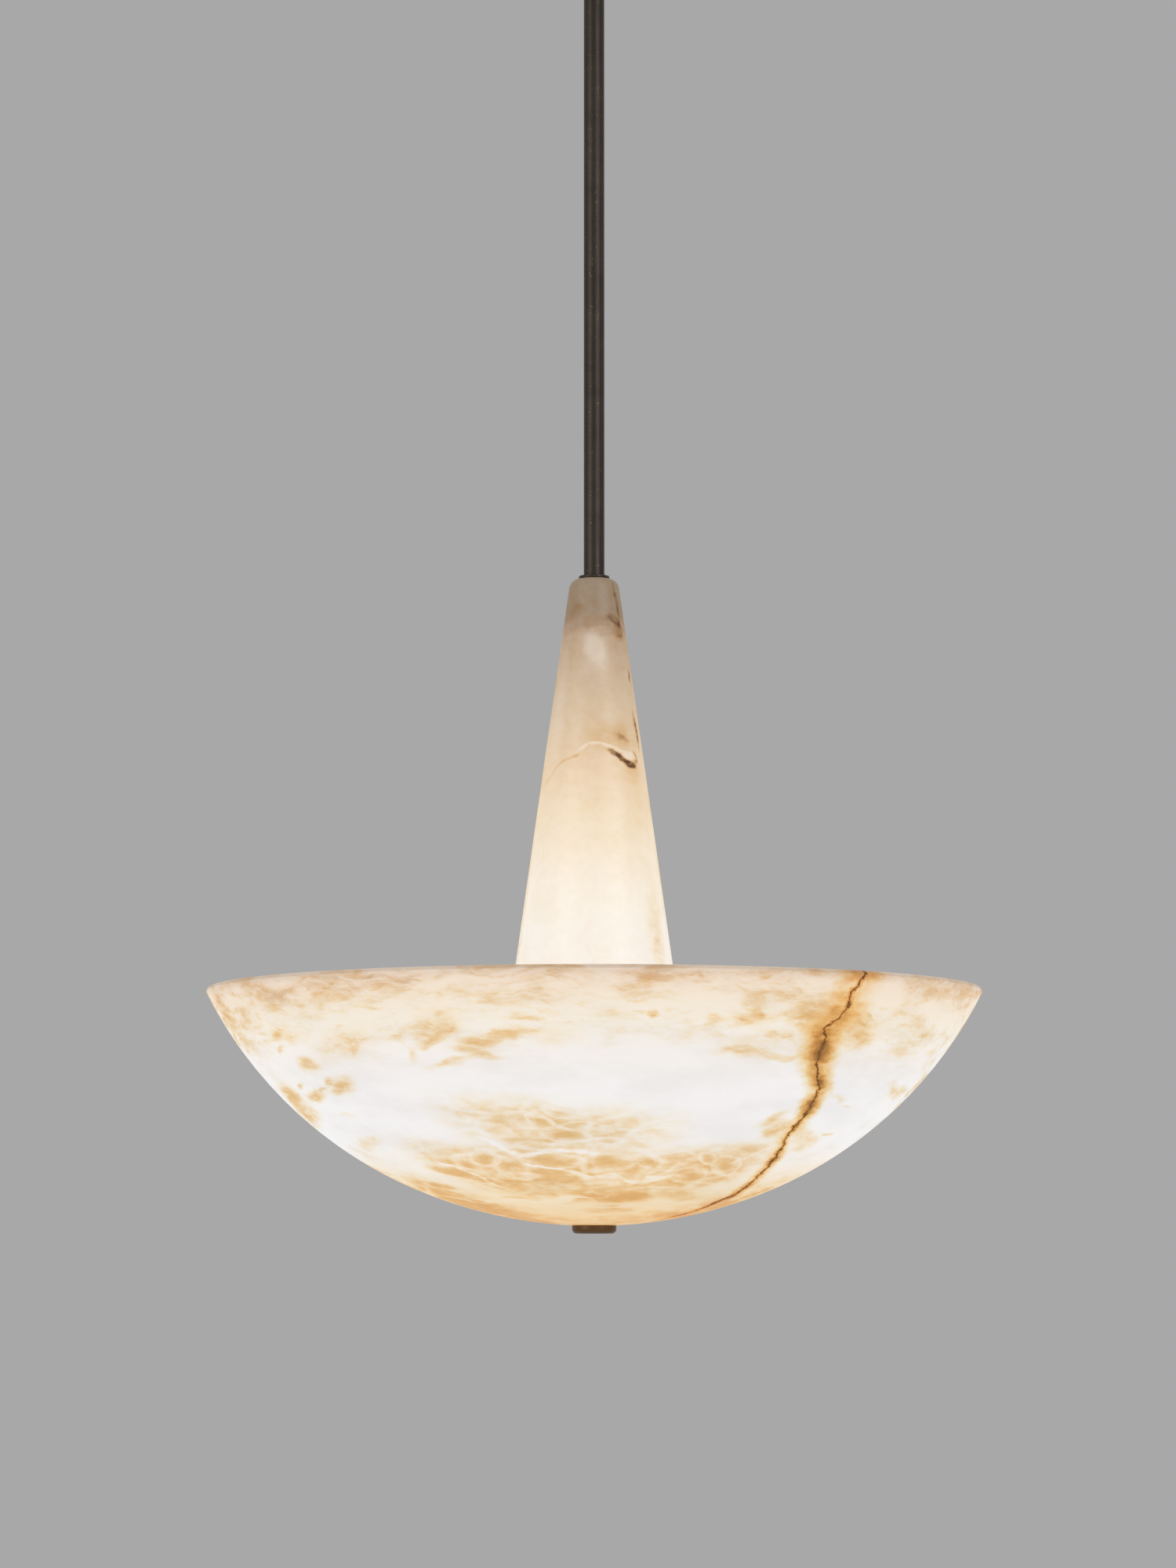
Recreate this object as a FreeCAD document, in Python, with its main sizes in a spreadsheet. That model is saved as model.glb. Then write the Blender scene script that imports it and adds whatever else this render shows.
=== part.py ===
"""Alabaster bowl pendant, built as the separate pieces that it comes apart into.

A turned alabaster bowl hangs on a bronze stem. A hollow, tapering alabaster column stands in the bowl
and closes on the stem with a small collar. Four lamps in a cross light both stones from inside. One
threaded tube runs from the stem to the finial under the bowl, and everything in the bowl is clamped
on it. A double swivel under the ceiling bracket lets the stem hang true, and a canopy hides it.

Units are millimetres. The origin is the middle of the ceiling bracket's top face, +Z is up, X runs
along the bracket and the photograph looks along +Y.
"""
import FreeCAD
import Part
import Sketcher
import math
import os
import re

# Driving sizes. Each is a cell of the sheet "sizes", and every feature is bound to the cells.
SIZES = {
    # fits and running gaps, on the radius or on one side
    "press_gap": 0.02,
    "running_gap": 0.05,
    "ear_gap": 0.15,
    "slide_gap": 0.25,
    "hole_gap": 0.5,
    # ceiling bracket
    "bracket_length": 86,
    "bracket_width": 22,
    "bracket_thickness": 3,
    "bracket_corner": 4,
    "slot_spacing": 64,
    "slot_width": 5.5,
    "slot_length": 12,
    "earth_screw_offset": 18,
    "earth_screw_radius": 2,
    "earth_head_radius": 3.8,
    "earth_head_height": 2.4,
    # double swivel: two yokes and the block between their ears
    "yoke_base_radius": 9.8,
    "yoke_base_thickness": 4,
    "ear_thickness": 4,
    "ear_half_width": 5.2,
    "pin_radius": 2,
    "pin_head_radius": 3.2,
    "pin_head_height": 1.5,
    "pivot_height": 11,
    "pivot_spacing": 12,
    "block_width": 11,
    "upper_shank_radius": 4,
    "rivet_countersink": 1.6,
    "lower_shank_radius": 5,
    "lower_shank_length": 8,
    # stem, its wire window and its collar
    "stem_radius": 6.75,
    "stem_bore": 4.5,
    "stem_length": 480,
    "window_drop": 9.5,
    "window_width": 9,
    "window_height": 9,
    "collar_radius": 10,
    "collar_thickness": 2,
    "collar_round": 0.6,
    # supply wires
    "wire_radius": 1,
    "wire_pitch": 2.2,
    "top_wire_bend": 7,
    "low_wire_bend": 4.5,
    "top_wire_level": 12,
    # connector block on the supply wires
    "connector_length": 16,
    "connector_depth": 12,
    "connector_height": 10,
    "connector_reach": 20,
    "terminal_well_radius": 1.6,
    "terminal_well_depth": 4,
    # canopy, a drawn brass cup, with its sliding collar
    "canopy_radius": 55,
    "canopy_height": 62,
    "canopy_wall": 1.2,
    "canopy_edge": 5,
    "ceiling_gap": 1,
    "slide_collar_radius": 11,
    "slide_collar_height": 10,
    "slide_collar_round": 1,
    "grub_radius": 2,
    # alabaster column
    "column_rise": 268,
    "column_foot_drop": 25,
    "column_top_radius": 15.45,
    "column_rim_radius": 53.1,
    "column_shoulder": 7,
    "column_cap": 27,
    "column_wall": 10,
    "column_foot_round": 1.5,
    # alabaster bowl: two arcs that meet smoothly, the lower one centred on the axis
    "bowl_radius": 251.5,
    "bowl_depth": 152.2,
    "bowl_wall": 10,
    "bowl_base_curve": 294,
    "bowl_join_radius": 115,
    "bowl_rim_round": 2.5,
    "bowl_hole_radius": 8,
    "outer_seat_radius": 15,
    "inner_seat_radius": 15.5,
    # threaded tube, its nuts and washers
    "tube_radius": 5,
    "tube_bore": 3.75,
    "tube_grip": 15,
    "nut_half_flats": 7,
    "nut_height": 4,
    "washer_radius": 14,
    "washer_thickness": 1.5,
    # rubber rings between metal and stone
    "foot_gasket_thickness": 2,
    "foot_gasket_inset": 1,
    "upper_gasket_thickness": 2,
    "lower_gasket_thickness": 1,
    "lower_gasket_radius": 13.2,
    # spider that carries the foot of the column
    "spider_ring_width": 8,
    "spider_ring_thickness": 3,
    "spider_arm_width": 8,
    "spider_hub_radius": 10,
    "spider_hub_height": 8,
    # lamp cluster
    "lamp_drop": 65,
    "cluster_radius": 31,
    "cluster_half_flats": 28,
    "cluster_bore": 25.5,
    "cluster_floor": 3,
    "cluster_below_lamps": 16,
    "cluster_above_lamps": 16,
    "lid_thickness": 2,
    "lid_lip": 2,
    "terminal_half_width": 18,
    "terminal_hole_half_width": 8,
    "terminal_height": 20,
    # lampholders, their nipples and the lamps, measured outwards from the cluster's flats
    "nipple_radius": 5,
    "nipple_bore": 3.5,
    "nipple_inside": 1.5,
    "holder_nut_half_flats": 8,
    "holder_nut_height": 3,
    "holder_length": 49,
    "holder_radius": 13.5,
    "holder_base_radius": 9,
    "holder_taper": 8,
    "holder_thread_depth": 6,
    "socket_bore": 8.2,
    "socket_depth": 22,
    "holder_round": 0.8,
    "lead_radius": 0.8,
    "lead_offset": 1.4,
    "lamp_cap_radius": 6.9,
    "lamp_tip_radius": 3,
    "lamp_tip_height": 1.5,
    "lamp_cap_stands_out": 1,
    "lamp_neck_radius": 7.8,
    "lamp_globe_radius": 22.5,
    "lamp_shoulder_radius": 13,
    "lamp_globe_reach": 35,
    # finial
    "finial_radius": 14.25,
    "finial_thickness": 5.3,
    "finial_round": 3,
    "spigot_radius": 7.5,
    "spigot_height": 8.5,
    "finial_bore_depth": 11.5,
    "end_gap": 0.5,
}

# How many of each there are
LAMPS = 4
SPIDER_ARMS = 3

# Sizes and heights that follow from the driving ones: formulas in the sheet "levels".
LEVELS = {
    # heights of the ceiling fitting and of the stem, from the ceiling down
    "bracket_underside": "-bracket_thickness",
    "upper_pivot": "bracket_underside - pivot_height",
    "lower_pivot": "upper_pivot - pivot_spacing",
    "stem_top": "lower_pivot - pivot_height",
    "stem_foot": "stem_top - stem_length",
    "column_top": "stem_foot - collar_thickness",
    "rim_level": "column_top - column_rise",
    "bowl_base": "rim_level - bowl_depth",
    "canopy_foot": "-ceiling_gap - canopy_height",
    "slide_collar_foot": "canopy_foot - slide_collar_height",
    "top_wire_height": "stem_top - top_wire_level",
    # the swivel's sides
    "block_half": "block_width / 2",
    "ear_inside": "block_half + ear_gap",
    "ear_outside": "ear_inside + ear_thickness",
    "pin_reach": "ear_outside + pin_head_height",
    # the stem's bores
    "tube_socket": "tube_radius + running_gap",
    "tube_clear": "tube_radius + hole_gap",
    "tube_top": "stem_foot + tube_grip",
    "sliding_bore": "stem_radius + slide_gap",
    # the column's taper, as radius gained for each millimetre down
    "column_height": "column_rise + column_foot_drop",
    "column_taper": "(column_rim_radius - column_top_radius) / column_rise",
    "column_foot_radius": "column_top_radius + column_taper * column_height",
    "column_wall_across": "column_wall * sqrt(1 + column_taper ^ 2)",
    "column_foot_bore": "column_foot_radius - column_wall_across",
    "column_hollow": "column_height - column_cap",
    "column_hollow_top": "column_foot_bore - column_taper * column_hollow",
    "column_foot": "rim_level - column_foot_drop",
    # the bowl's outside: where the two arcs meet, and the radius of the upper one
    "join_sine": "bowl_join_radius / bowl_base_curve",
    "join_cosine": "sqrt(1 - join_sine ^ 2)",
    "join_height": "bowl_base_curve * (1 - join_cosine)",
    "side_across": "bowl_radius - bowl_join_radius",
    "side_rise": "bowl_depth - join_height",
    "side_offset": "side_rise * join_cosine - side_across * join_sine",
    "bowl_side_curve": "(side_across ^ 2 + side_rise ^ 2) / (2 * side_offset)",
    "side_centre_across": "bowl_join_radius - bowl_side_curve * join_sine",
    "side_centre_height": "join_height + bowl_side_curve * join_cosine",
    # the bowl's inside, the same arcs one wall further in
    "inner_base_curve": "bowl_base_curve - bowl_wall",
    "inner_side_curve": "bowl_side_curve - bowl_wall",
    "inner_join_radius": "inner_base_curve * join_sine",
    "inner_join_height": "bowl_base_curve - inner_base_curve * join_cosine",
    "rim_below_centre": "side_centre_height - bowl_depth",
    "inner_rim_radius": "side_centre_across + sqrt(inner_side_curve ^ 2 - rim_below_centre ^ 2)",
    "outer_seat": "bowl_base_curve - sqrt(bowl_base_curve ^ 2 - outer_seat_radius ^ 2)",
    "inner_seat": "bowl_base_curve - sqrt(inner_base_curve ^ 2 - inner_seat_radius ^ 2)",
    "outer_seat_level": "bowl_base + outer_seat",
    "inner_seat_level": "bowl_base + inner_seat",
    # stack under the column
    "spider_top": "column_foot - foot_gasket_thickness",
    "spider_radius": "column_foot_radius - foot_gasket_inset",
    "spider_ring_inside": "spider_radius - spider_ring_width",
    "spider_foot": "spider_top - spider_hub_height",
    # lamp cluster, with a flat for each lamp
    "lamp_level": "rim_level - lamp_drop",
    "cluster_foot": "lamp_level - cluster_below_lamps",
    "cluster_top": "lamp_level + cluster_above_lamps",
    "cluster_height": "cluster_top - cluster_foot",
    "cluster_lid_top": "cluster_top + lid_thickness",
    "terminal_foot": "cluster_foot + cluster_floor",
    "lamp_cosine": f"cos({180 / LAMPS})",
    "cluster_corner": "cluster_half_flats / lamp_cosine",
    "terminal_corner": "terminal_half_width / lamp_cosine",
    "nipple_start": "cluster_bore - nipple_inside",
    "nipple_length": "holder_start + holder_thread_depth - end_gap - nipple_start",
    "lead_length": "holder_start + holder_thread_depth - terminal_half_width",
    "holder_start": "cluster_half_flats + holder_nut_height",
    "holder_end": "holder_start + holder_length",
    "socket_floor": "holder_end - socket_depth",
    "lamp_cap_end": "holder_end + lamp_cap_stands_out",
    "globe_centre": "holder_end + lamp_globe_reach",
    "shoulder_rise": "sqrt(lamp_globe_radius ^ 2 - lamp_shoulder_radius ^ 2)",
    # finial
    "finial_foot": "outer_seat_level - finial_thickness",
    "finial_bore_floor": "finial_thickness + spigot_height - finial_bore_depth",
    "tube_foot": "finial_foot + finial_bore_floor + end_gap",
    "tube_length": "tube_top - tube_foot",
}

NAME = re.compile(r"[a-z_]+")
TERM = re.compile(r"([+-]?) ?([^ +-]+(?: [*/] [^ +-]+)*)")
UPRIGHT = FreeCAD.Rotation()
UPSIDE_DOWN = FreeCAD.Rotation(FreeCAD.Vector(1, 0, 0), 180)
ALONG_X = FreeCAD.Rotation(FreeCAD.Vector(0, 1, 0), 90)
ALONG_Y = FreeCAD.Rotation(FreeCAD.Vector(1, 0, 0), -90)
QUARTER_TURN = FreeCAD.Rotation(FreeCAD.Vector(0, 0, 1), 90)

doc = FreeCAD.newDocument("alabaster_bowl_pendant")
pieces = []


# ---------------------------------------------------------------- sheets and formulas

def fill_sheet(name, cells):
    """A spreadsheet with one aliased cell for each entry."""
    sheet = doc.addObject("Spreadsheet::Sheet", name)
    for row, (alias, text) in enumerate(cells.items(), start=1):
        sheet.set(f"A{row}", alias)
        sheet.set(f"B{row}", text)
        sheet.setAlias(f"B{row}", alias)
    doc.recompute()
    return sheet


def formula(text):
    """The text with each size and level written as its sheet knows it."""
    def cell(match):
        word = match.group(0)
        if word in SIZES:
            return "sizes." + word
        return "levels." + word if word in LEVELS else word
    return NAME.sub(cell, text)


def factor(word):
    """Value of one number, size or level."""
    if word in SIZES:
        return float(sizes.get(word))
    return float(levels.get(word)) if word in LEVELS else float(word)


def number(text):
    """Value of a short formula: terms joined by + and -, each a product or a quotient."""
    total = 0.0
    for sign, term in TERM.findall(text):
        words = term.split()
        value = factor(words[0])
        for operation, word in zip(words[1::2], words[2::2]):
            value = value * factor(word) if operation == "*" else value / factor(word)
        total += -value if sign == "-" else value
    return total


sizes = fill_sheet("sizes", {name: str(value) for name, value in SIZES.items()})
levels = fill_sheet("levels", {name: "=" + formula(text) for name, text in LEVELS.items()})


# ---------------------------------------------------------------- sketches and features

def bind(thing, **properties):
    """Bind the named properties of an object to formulas."""
    for name, text in properties.items():
        thing.setExpression(name, formula(text))
    return thing


def place(thing, rotation=UPRIGHT, x="0", y="0", z="0"):
    """Turn an object and bind where it stands."""
    thing.Placement = FreeCAD.Placement(FreeCAD.Vector(0, 0, 0), rotation)
    for axis, text in (("x", x), ("y", y), ("z", z)):
        if text != "0":
            thing.setExpression("Placement.Base." + axis, formula(text))
    return thing


def keep(thing, label):
    """Name a finished piece and list it for writing."""
    thing.Label = label
    pieces.append(thing)
    return thing


def new_body(label):
    """An empty body that becomes the named piece."""
    return keep(doc.addObject("PartDesign::Body", label), label)


def new_sketch(body, plane, lift="0"):
    """A sketch on one of the body's own planes, lifted off it along the plane's normal."""
    sketch = body.newObject("Sketcher::SketchObject", body.Name + "_sketch")
    support = [part for part in body.Origin.OriginFeatures if part.Role == plane]
    sketch.AttachmentSupport = [(support[0], "")]
    sketch.MapMode = "FlatFace"
    if lift != "0":
        sketch.setExpression("AttachmentOffset.Base.z", formula(lift))
    return sketch


def dimension(sketch, kind, index, end, text):
    """Bind one coordinate of a point, or an arc's radius, to a formula."""
    value = number(text)
    if kind == "Radius":
        constraint = Sketcher.Constraint(kind, index, value)
    else:
        constraint = Sketcher.Constraint(kind, -1, 1, index, end, value)
    label = f"{kind}_{index}_{end}"
    sketch.renameConstraint(sketch.addConstraint(constraint), label)
    sketch.setExpression("Constraints." + label, formula(text))


def arc_through(start, finish, radius, side):
    """The shorter arc from start to finish; side is 1 where it bulges to the right of its way."""
    chord = finish - start
    middle = (start + finish) / 2
    sagitta = radius - math.sqrt(max(radius ** 2 - (chord.Length / 2) ** 2, 0.0))
    right = FreeCAD.Vector(chord.y, -chord.x, 0).normalize()
    return Part.Arc(start, middle + right * (sagitta * side), finish)


def outline(sketch, corners, closed=True):
    """Draw lines and arcs from corner to corner and bind every corner.

    A corner is (across, up), or (across, up, radius, side) where an arc leaves it.
    """
    points = [FreeCAD.Vector(number(corner[0]), number(corner[1]), 0) for corner in corners]
    count = len(corners) if closed else len(corners) - 1
    starts = []
    for index in range(count):
        start = points[index]
        finish = points[(index + 1) % len(points)]
        if len(corners[index]) == 2:
            sketch.addGeometry(Part.LineSegment(start, finish))
            starts.append(1)
        else:
            sketch.addGeometry(arc_through(start, finish, number(corners[index][2]), corners[index][3]))
            near_start = sketch.getPoint(index, 1).distanceToPoint(start)
            near_finish = sketch.getPoint(index, 1).distanceToPoint(finish)
            starts.append(1 if near_start < near_finish else 2)
            dimension(sketch, "Radius", index, 0, corners[index][2])
    for index in range(count):
        after = (index + 1) % len(corners)
        if closed or after < count:
            sketch.addConstraint(
                Sketcher.Constraint("Coincident", index, 3 - starts[index], after, starts[after])
            )
    for index, corner in enumerate(corners):
        segment, end = (index, starts[index]) if index < count else (index - 1, 3 - starts[index - 1])
        for text, kind, axis in ((corner[0], "DistanceX", -2), (corner[1], "DistanceY", -1)):
            if text == "0":
                sketch.addConstraint(Sketcher.Constraint("PointOnObject", segment, end, axis))
            else:
                dimension(sketch, kind, segment, end, text)


def hole_outline(sketch, radius, across="0", up="0"):
    """Draw a circle and bind its radius and centre."""
    centre = FreeCAD.Vector(number(across), number(up), 0)
    index = sketch.addGeometry(Part.Circle(centre, FreeCAD.Vector(0, 0, 1), number(radius)))
    dimension(sketch, "Radius", index, 0, radius)
    for text, kind, axis in ((across, "DistanceX", -2), (up, "DistanceY", -1)):
        if text == "0":
            sketch.addConstraint(Sketcher.Constraint("PointOnObject", index, 3, axis))
        else:
            dimension(sketch, kind, index, 3, text)


def revolve(body, corners):
    """Turn a profile of (radius, height) corners about the body's upright axis."""
    sketch = new_sketch(body, "XZ_Plane")
    outline(sketch, corners)
    turned = body.newObject("PartDesign::Revolution", body.Name + "_turned")
    turned.Profile = sketch
    turned.ReferenceAxis = (sketch, ["V_Axis"])
    turned.Angle = 360
    return turned


def extrude(body, sketch, length, both_ways=False, backwards=False):
    """Pad a sketch by a bound length."""
    pad = body.newObject("PartDesign::Pad", body.Name + "_pad")
    pad.Profile = sketch
    pad.SideType = "Symmetric" if both_ways else "One side"
    pad.Reversed = backwards
    return bind(pad, Length=length)


def cut_away(body, sketch, length, both_ways=False, backwards=False):
    """Pocket a sketch by a bound length and make sure that it takes material."""
    doc.recompute()
    before = body.Shape.Volume
    pocket = body.newObject("PartDesign::Pocket", body.Name + "_pocket")
    pocket.Profile = sketch
    pocket.SideType = "Symmetric" if both_ways else "One side"
    pocket.Reversed = backwards
    bind(pocket, Length=length)
    doc.recompute()
    if body.Shape.Volume >= before:
        raise ValueError(f"the pocket in {body.Label} takes nothing away")
    return pocket


def soften(body, kind, size, rims):
    """Fillet or chamfer the round edges of given radius and height on a body's last feature."""
    doc.recompute()
    base = body.Tip
    wanted = [(number(radius), number(height)) for radius, height in rims]
    names = []
    for index, edge in enumerate(base.Shape.Edges, start=1):
        if not isinstance(edge.Curve, Part.Circle):
            continue
        circle = edge.Curve
        for radius, height in wanted:
            level = abs(circle.Center.z - height) < 1e-4 and abs(abs(circle.Axis.z) - 1) < 1e-6
            if level and abs(circle.Radius - radius) < 1e-4:
                names.append(f"Edge{index}")
    if len(names) < len(wanted):
        raise ValueError(f"{body.Label} lacks an edge to soften")
    feature = body.newObject("PartDesign::" + kind, body.Name + "_" + kind.lower())
    feature.Base = (base, names)
    return bind(feature, **{"Radius" if kind == "Fillet" else "Size": size})


def turned_piece(label, corners, z="0", rotation=UPRIGHT, x="0", y="0"):
    """A body turned from one profile, where it stands."""
    body = new_body(label)
    revolve(body, corners)
    place(body, rotation, x, y, z)
    return body


def ring(label, inside, outside, thickness, z):
    """A flat washer or gasket."""
    return turned_piece(label, [(inside, "0"), (outside, "0"), (outside, thickness), (inside, thickness)], z)


def primitive(kind, label, rotation=UPRIGHT, x="0", y="0", z="0", **properties):
    """A bound box, cylinder or prism."""
    return place(bind(doc.addObject("Part::" + kind, label), **properties), rotation, x, y, z)


def block(label, half_x, half_y, height, z="0"):
    """A box that is centred on the upright axis."""
    return primitive(
        "Box", label, x=f"-{half_x}", y=f"-{half_y}", z=z,
        Length=f"2 * {half_x}", Width=f"2 * {half_y}", Height=height,
    )


def minus(label, base, *tools):
    """What is left of a solid when the tools are cut away."""
    tool = tools[0]
    if len(tools) > 1:
        tool = doc.addObject("Part::MultiFuse", label + "_tools")
        tool.Shapes = list(tools)
    result = doc.addObject("Part::Cut", label)
    result.Base = base
    result.Tool = tool
    result.Refine = True
    return result


def together(kind, label, *parts):
    """The union or the common part of several solids."""
    result = doc.addObject("Part::Multi" + kind, label)
    result.Shapes = list(parts)
    result.Refine = True
    return result


def prism(label, sides, corner_radius, height, z="0"):
    """A regular prism on the upright axis, with a corner on +X."""
    shape = primitive("Prism", label, z=z, Circumradius=corner_radius, Height=height)
    shape.Polygon = sides
    return shape


def hex_nut(label, half_flats, height, bore, lift="0"):
    """A hexagon nut on the upright axis, its lower face at the given lift."""
    blank = prism(label + "_hexagon", 6, f"2 * {half_flats} / sqrt(3)", height, lift)
    hole = primitive("Cylinder", label + "_hole", z=lift, Radius=bore, Height=height)
    return minus(label, blank, hole)


# ---------------------------------------------------------------- ceiling bracket

def ceiling_bracket():
    """Flat bar with two mounting slots, the hole for the yoke's rivet and the one for the earth screw."""
    body = new_body("ceiling_bracket")
    end = "bracket_length / 2"
    side = "bracket_width / 2"
    inner_end = end + " - bracket_corner"
    inner_side = side + " - bracket_corner"
    bar = new_sketch(body, "XY_Plane")
    outline(bar, [
        (inner_end, "-" + side, "bracket_corner", 1),
        (end, "bracket_corner - " + side),
        (end, inner_side, "bracket_corner", 1),
        (inner_end, side),
        ("bracket_corner - " + end, side, "bracket_corner", 1),
        ("-" + end, inner_side),
        ("-" + end, "bracket_corner - " + side, "bracket_corner", 1),
        ("bracket_corner - " + end, "-" + side),
    ])
    extrude(body, bar, "bracket_thickness", backwards=True)
    slot = new_sketch(body, "XY_Plane")
    straight = "slot_length / 2 - slot_width / 2"
    slot_end = "slot_spacing / 2 + " + straight
    slot_start = "slot_spacing / 2 - slot_length / 2 + slot_width / 2"
    outline(slot, [
        (slot_start, "-slot_width / 2"),
        (slot_end, "-slot_width / 2", "slot_width / 2", 1),
        ("slot_spacing / 2 + slot_length / 2", "0", "slot_width / 2", 1),
        (slot_end, "slot_width / 2"),
        (slot_start, "slot_width / 2", "slot_width / 2", 1),
        ("slot_spacing / 2 - slot_length / 2", "0", "slot_width / 2", 1),
    ])
    first_slot = cut_away(body, slot, "bracket_thickness")
    second_slot = body.newObject("PartDesign::Mirrored", "second_slot")
    second_slot.Originals = [first_slot]
    middle = [part for part in body.Origin.OriginFeatures if part.Role == "YZ_Plane"]
    second_slot.MirrorPlane = (middle[0], [""])
    body.Tip = second_slot
    holes = new_sketch(body, "XY_Plane")
    hole_outline(holes, "upper_shank_radius + press_gap")
    hole_outline(holes, "earth_screw_radius + press_gap", across="earth_screw_offset")
    cut_away(body, holes, "bracket_thickness")
    soften(body, "Chamfer", "rivet_countersink", [("upper_shank_radius + press_gap", "0")])


def earth_screw():
    """Pan-head screw up through the bracket, for the earth wire."""
    turned_piece("earth_screw", [
        ("0", "0"),
        ("earth_head_radius", "0"),
        ("earth_head_radius", "earth_head_height"),
        ("earth_screw_radius", "earth_head_height"),
        ("earth_screw_radius", "earth_head_height + bracket_thickness"),
        ("0", "earth_head_height + bracket_thickness"),
    ], z="bracket_underside - earth_head_height", x="earth_screw_offset")


# ---------------------------------------------------------------- double swivel

def yoke(label, shank, z, rotation):
    """Round base with two rounded ears across local X and a shank below, drilled for its pin."""
    body = new_body(label)
    revolve(body, [
        *shank,
        ("yoke_base_radius", "0"),
        ("yoke_base_radius", "yoke_base_thickness"),
        ("0", "yoke_base_thickness"),
    ])
    for name, lift in (("right", "ear_inside"), ("left", "-ear_outside")):
        ear = new_sketch(body, "YZ_Plane", lift)
        outline(ear, [
            ("ear_half_width", "0"),
            ("ear_half_width", "pivot_height", "ear_half_width", 1),
            ("0", "pivot_height + ear_half_width", "ear_half_width", 1),
            ("-ear_half_width", "pivot_height"),
            ("-ear_half_width", "0"),
        ])
        extrude(body, ear, "ear_thickness").Label = f"{label}_{name}_ear"
    pin_hole = new_sketch(body, "YZ_Plane")
    hole_outline(pin_hole, "pin_radius + press_gap", up="pivot_height")
    cut_away(body, pin_hole, "2 * yoke_base_radius", both_ways=True)
    place(body, rotation, z=z)
    return body


def upper_yoke():
    """Riveted under the bracket, its ears facing left and right."""
    body = yoke("upper_yoke", [
        ("0", "-bracket_thickness"),
        ("upper_shank_radius + rivet_countersink", "-bracket_thickness"),
        ("upper_shank_radius", "rivet_countersink - bracket_thickness"),
        ("upper_shank_radius", "0"),
    ], "bracket_underside", UPSIDE_DOWN)
    return body


def lower_yoke():
    """Brazed into the top of the stem, its ears facing front and back."""
    return yoke("lower_yoke", [
        ("0", "-lower_shank_length"),
        ("lower_shank_radius", "-lower_shank_length"),
        ("lower_shank_radius", "0"),
    ], "stem_top", QUARTER_TURN)


def pivot_pin(label, z, rotation):
    """Pin through both ears, peened over at each end."""
    body = turned_piece(label, [
        ("0", "0"),
        ("pin_head_radius", "0"),
        ("pin_head_radius", "pin_head_height"),
        ("pin_radius", "pin_head_height"),
        ("pin_radius", "2 * ear_outside + pin_head_height"),
        ("pin_head_radius", "2 * ear_outside + pin_head_height"),
        ("pin_head_radius", "2 * pin_reach"),
        ("0", "2 * pin_reach"),
    ], z=z, rotation=rotation)
    axis = "x" if rotation is ALONG_X else "y"
    body.setExpression("Placement.Base." + axis, formula("-pin_reach"))


def swivel_block():
    """Square block between the two pins, rounded about each so that it clears both yokes."""
    middle = block("block_middle", "block_half", "block_half", "pivot_spacing", "lower_pivot")
    ends = []
    holes = []
    for name, rotation, axis, level in (
        ("upper", ALONG_X, "x", "upper_pivot"),
        ("lower", ALONG_Y, "y", "lower_pivot"),
    ):
        start = {axis: "-block_half", "z": level}
        ends.append(primitive("Cylinder", f"block_{name}_end", rotation, **start,
                              Radius="block_half", Height="block_width"))
        holes.append(primitive("Cylinder", f"block_{name}_hole", rotation, **start,
                               Radius="pin_radius + running_gap", Height="block_width"))
    keep(minus("swivel_block", together("Fuse", "block_blank", middle, *ends), *holes), "swivel_block")


# ---------------------------------------------------------------- stem and wiring

def stem():
    """Bronze tube, counterbored at both ends, with the window that the wires leave by at the back."""
    body = new_body("stem")
    revolve(body, [
        ("tube_socket", "0"),
        ("stem_radius", "0"),
        ("stem_radius", "stem_length"),
        ("lower_shank_radius + press_gap", "stem_length"),
        ("lower_shank_radius + press_gap", "stem_length - lower_shank_length"),
        ("stem_bore", "stem_length - lower_shank_length"),
        ("stem_bore", "tube_grip"),
        ("tube_socket", "tube_grip"),
    ])
    window = new_sketch(body, "XZ_Plane")
    high = "stem_length - window_drop"
    low = high + " - window_height"
    outline(window, [
        ("-window_width / 2", low),
        ("window_width / 2", low),
        ("window_width / 2", high),
        ("-window_width / 2", high),
    ])
    cut_away(body, window, "stem_radius")
    place(body, z="stem_foot")


def supply_wire(label, offset):
    """One wire: out of the terminal frame, up the tube and the stem, and out of the window."""
    body = new_body(label)
    section = new_sketch(body, "XZ_Plane")
    hole_outline(section, "wire_radius")
    route = new_sketch(body, "YZ_Plane")
    low_turn = "low_wire_bend - terminal_hole_half_width"
    high_turn = "top_wire_height - lamp_level"
    outline(route, [
        ("0", "0"),
        (low_turn, "0", "low_wire_bend", -1),
        ("-terminal_hole_half_width", "low_wire_bend"),
        ("-terminal_hole_half_width", high_turn + " - top_wire_bend", "top_wire_bend", -1),
        ("top_wire_bend - terminal_hole_half_width", high_turn),
        ("connector_reach - terminal_hole_half_width", high_turn),
    ], closed=False)
    wire = body.newObject("PartDesign::AdditivePipe", label + "_run")
    wire.Profile = section
    wire.Spine = (route, ["Edge1", "Edge2", "Edge3", "Edge4", "Edge5"])
    place(body, x=offset, y="terminal_hole_half_width", z="lamp_level")


def connector_block():
    """Three-way terminal block on the ends of the supply wires, with its screw wells."""
    body = new_body("connector_block")
    side = new_sketch(body, "XY_Plane")
    half = "connector_length / 2"
    outline(side, [
        ("-" + half, "0"),
        (half, "0"),
        (half, "connector_depth"),
        ("-" + half, "connector_depth"),
    ])
    extrude(body, side, "connector_height")
    wells = new_sketch(body, "XY_Plane", "connector_height")
    for across in ("-connector_length / 3", "0", "connector_length / 3"):
        hole_outline(wells, "terminal_well_radius", across, "connector_depth / 2")
    cut_away(body, wells, "terminal_well_depth")
    place(body, y="connector_reach", z="top_wire_height - connector_height / 2")


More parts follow.
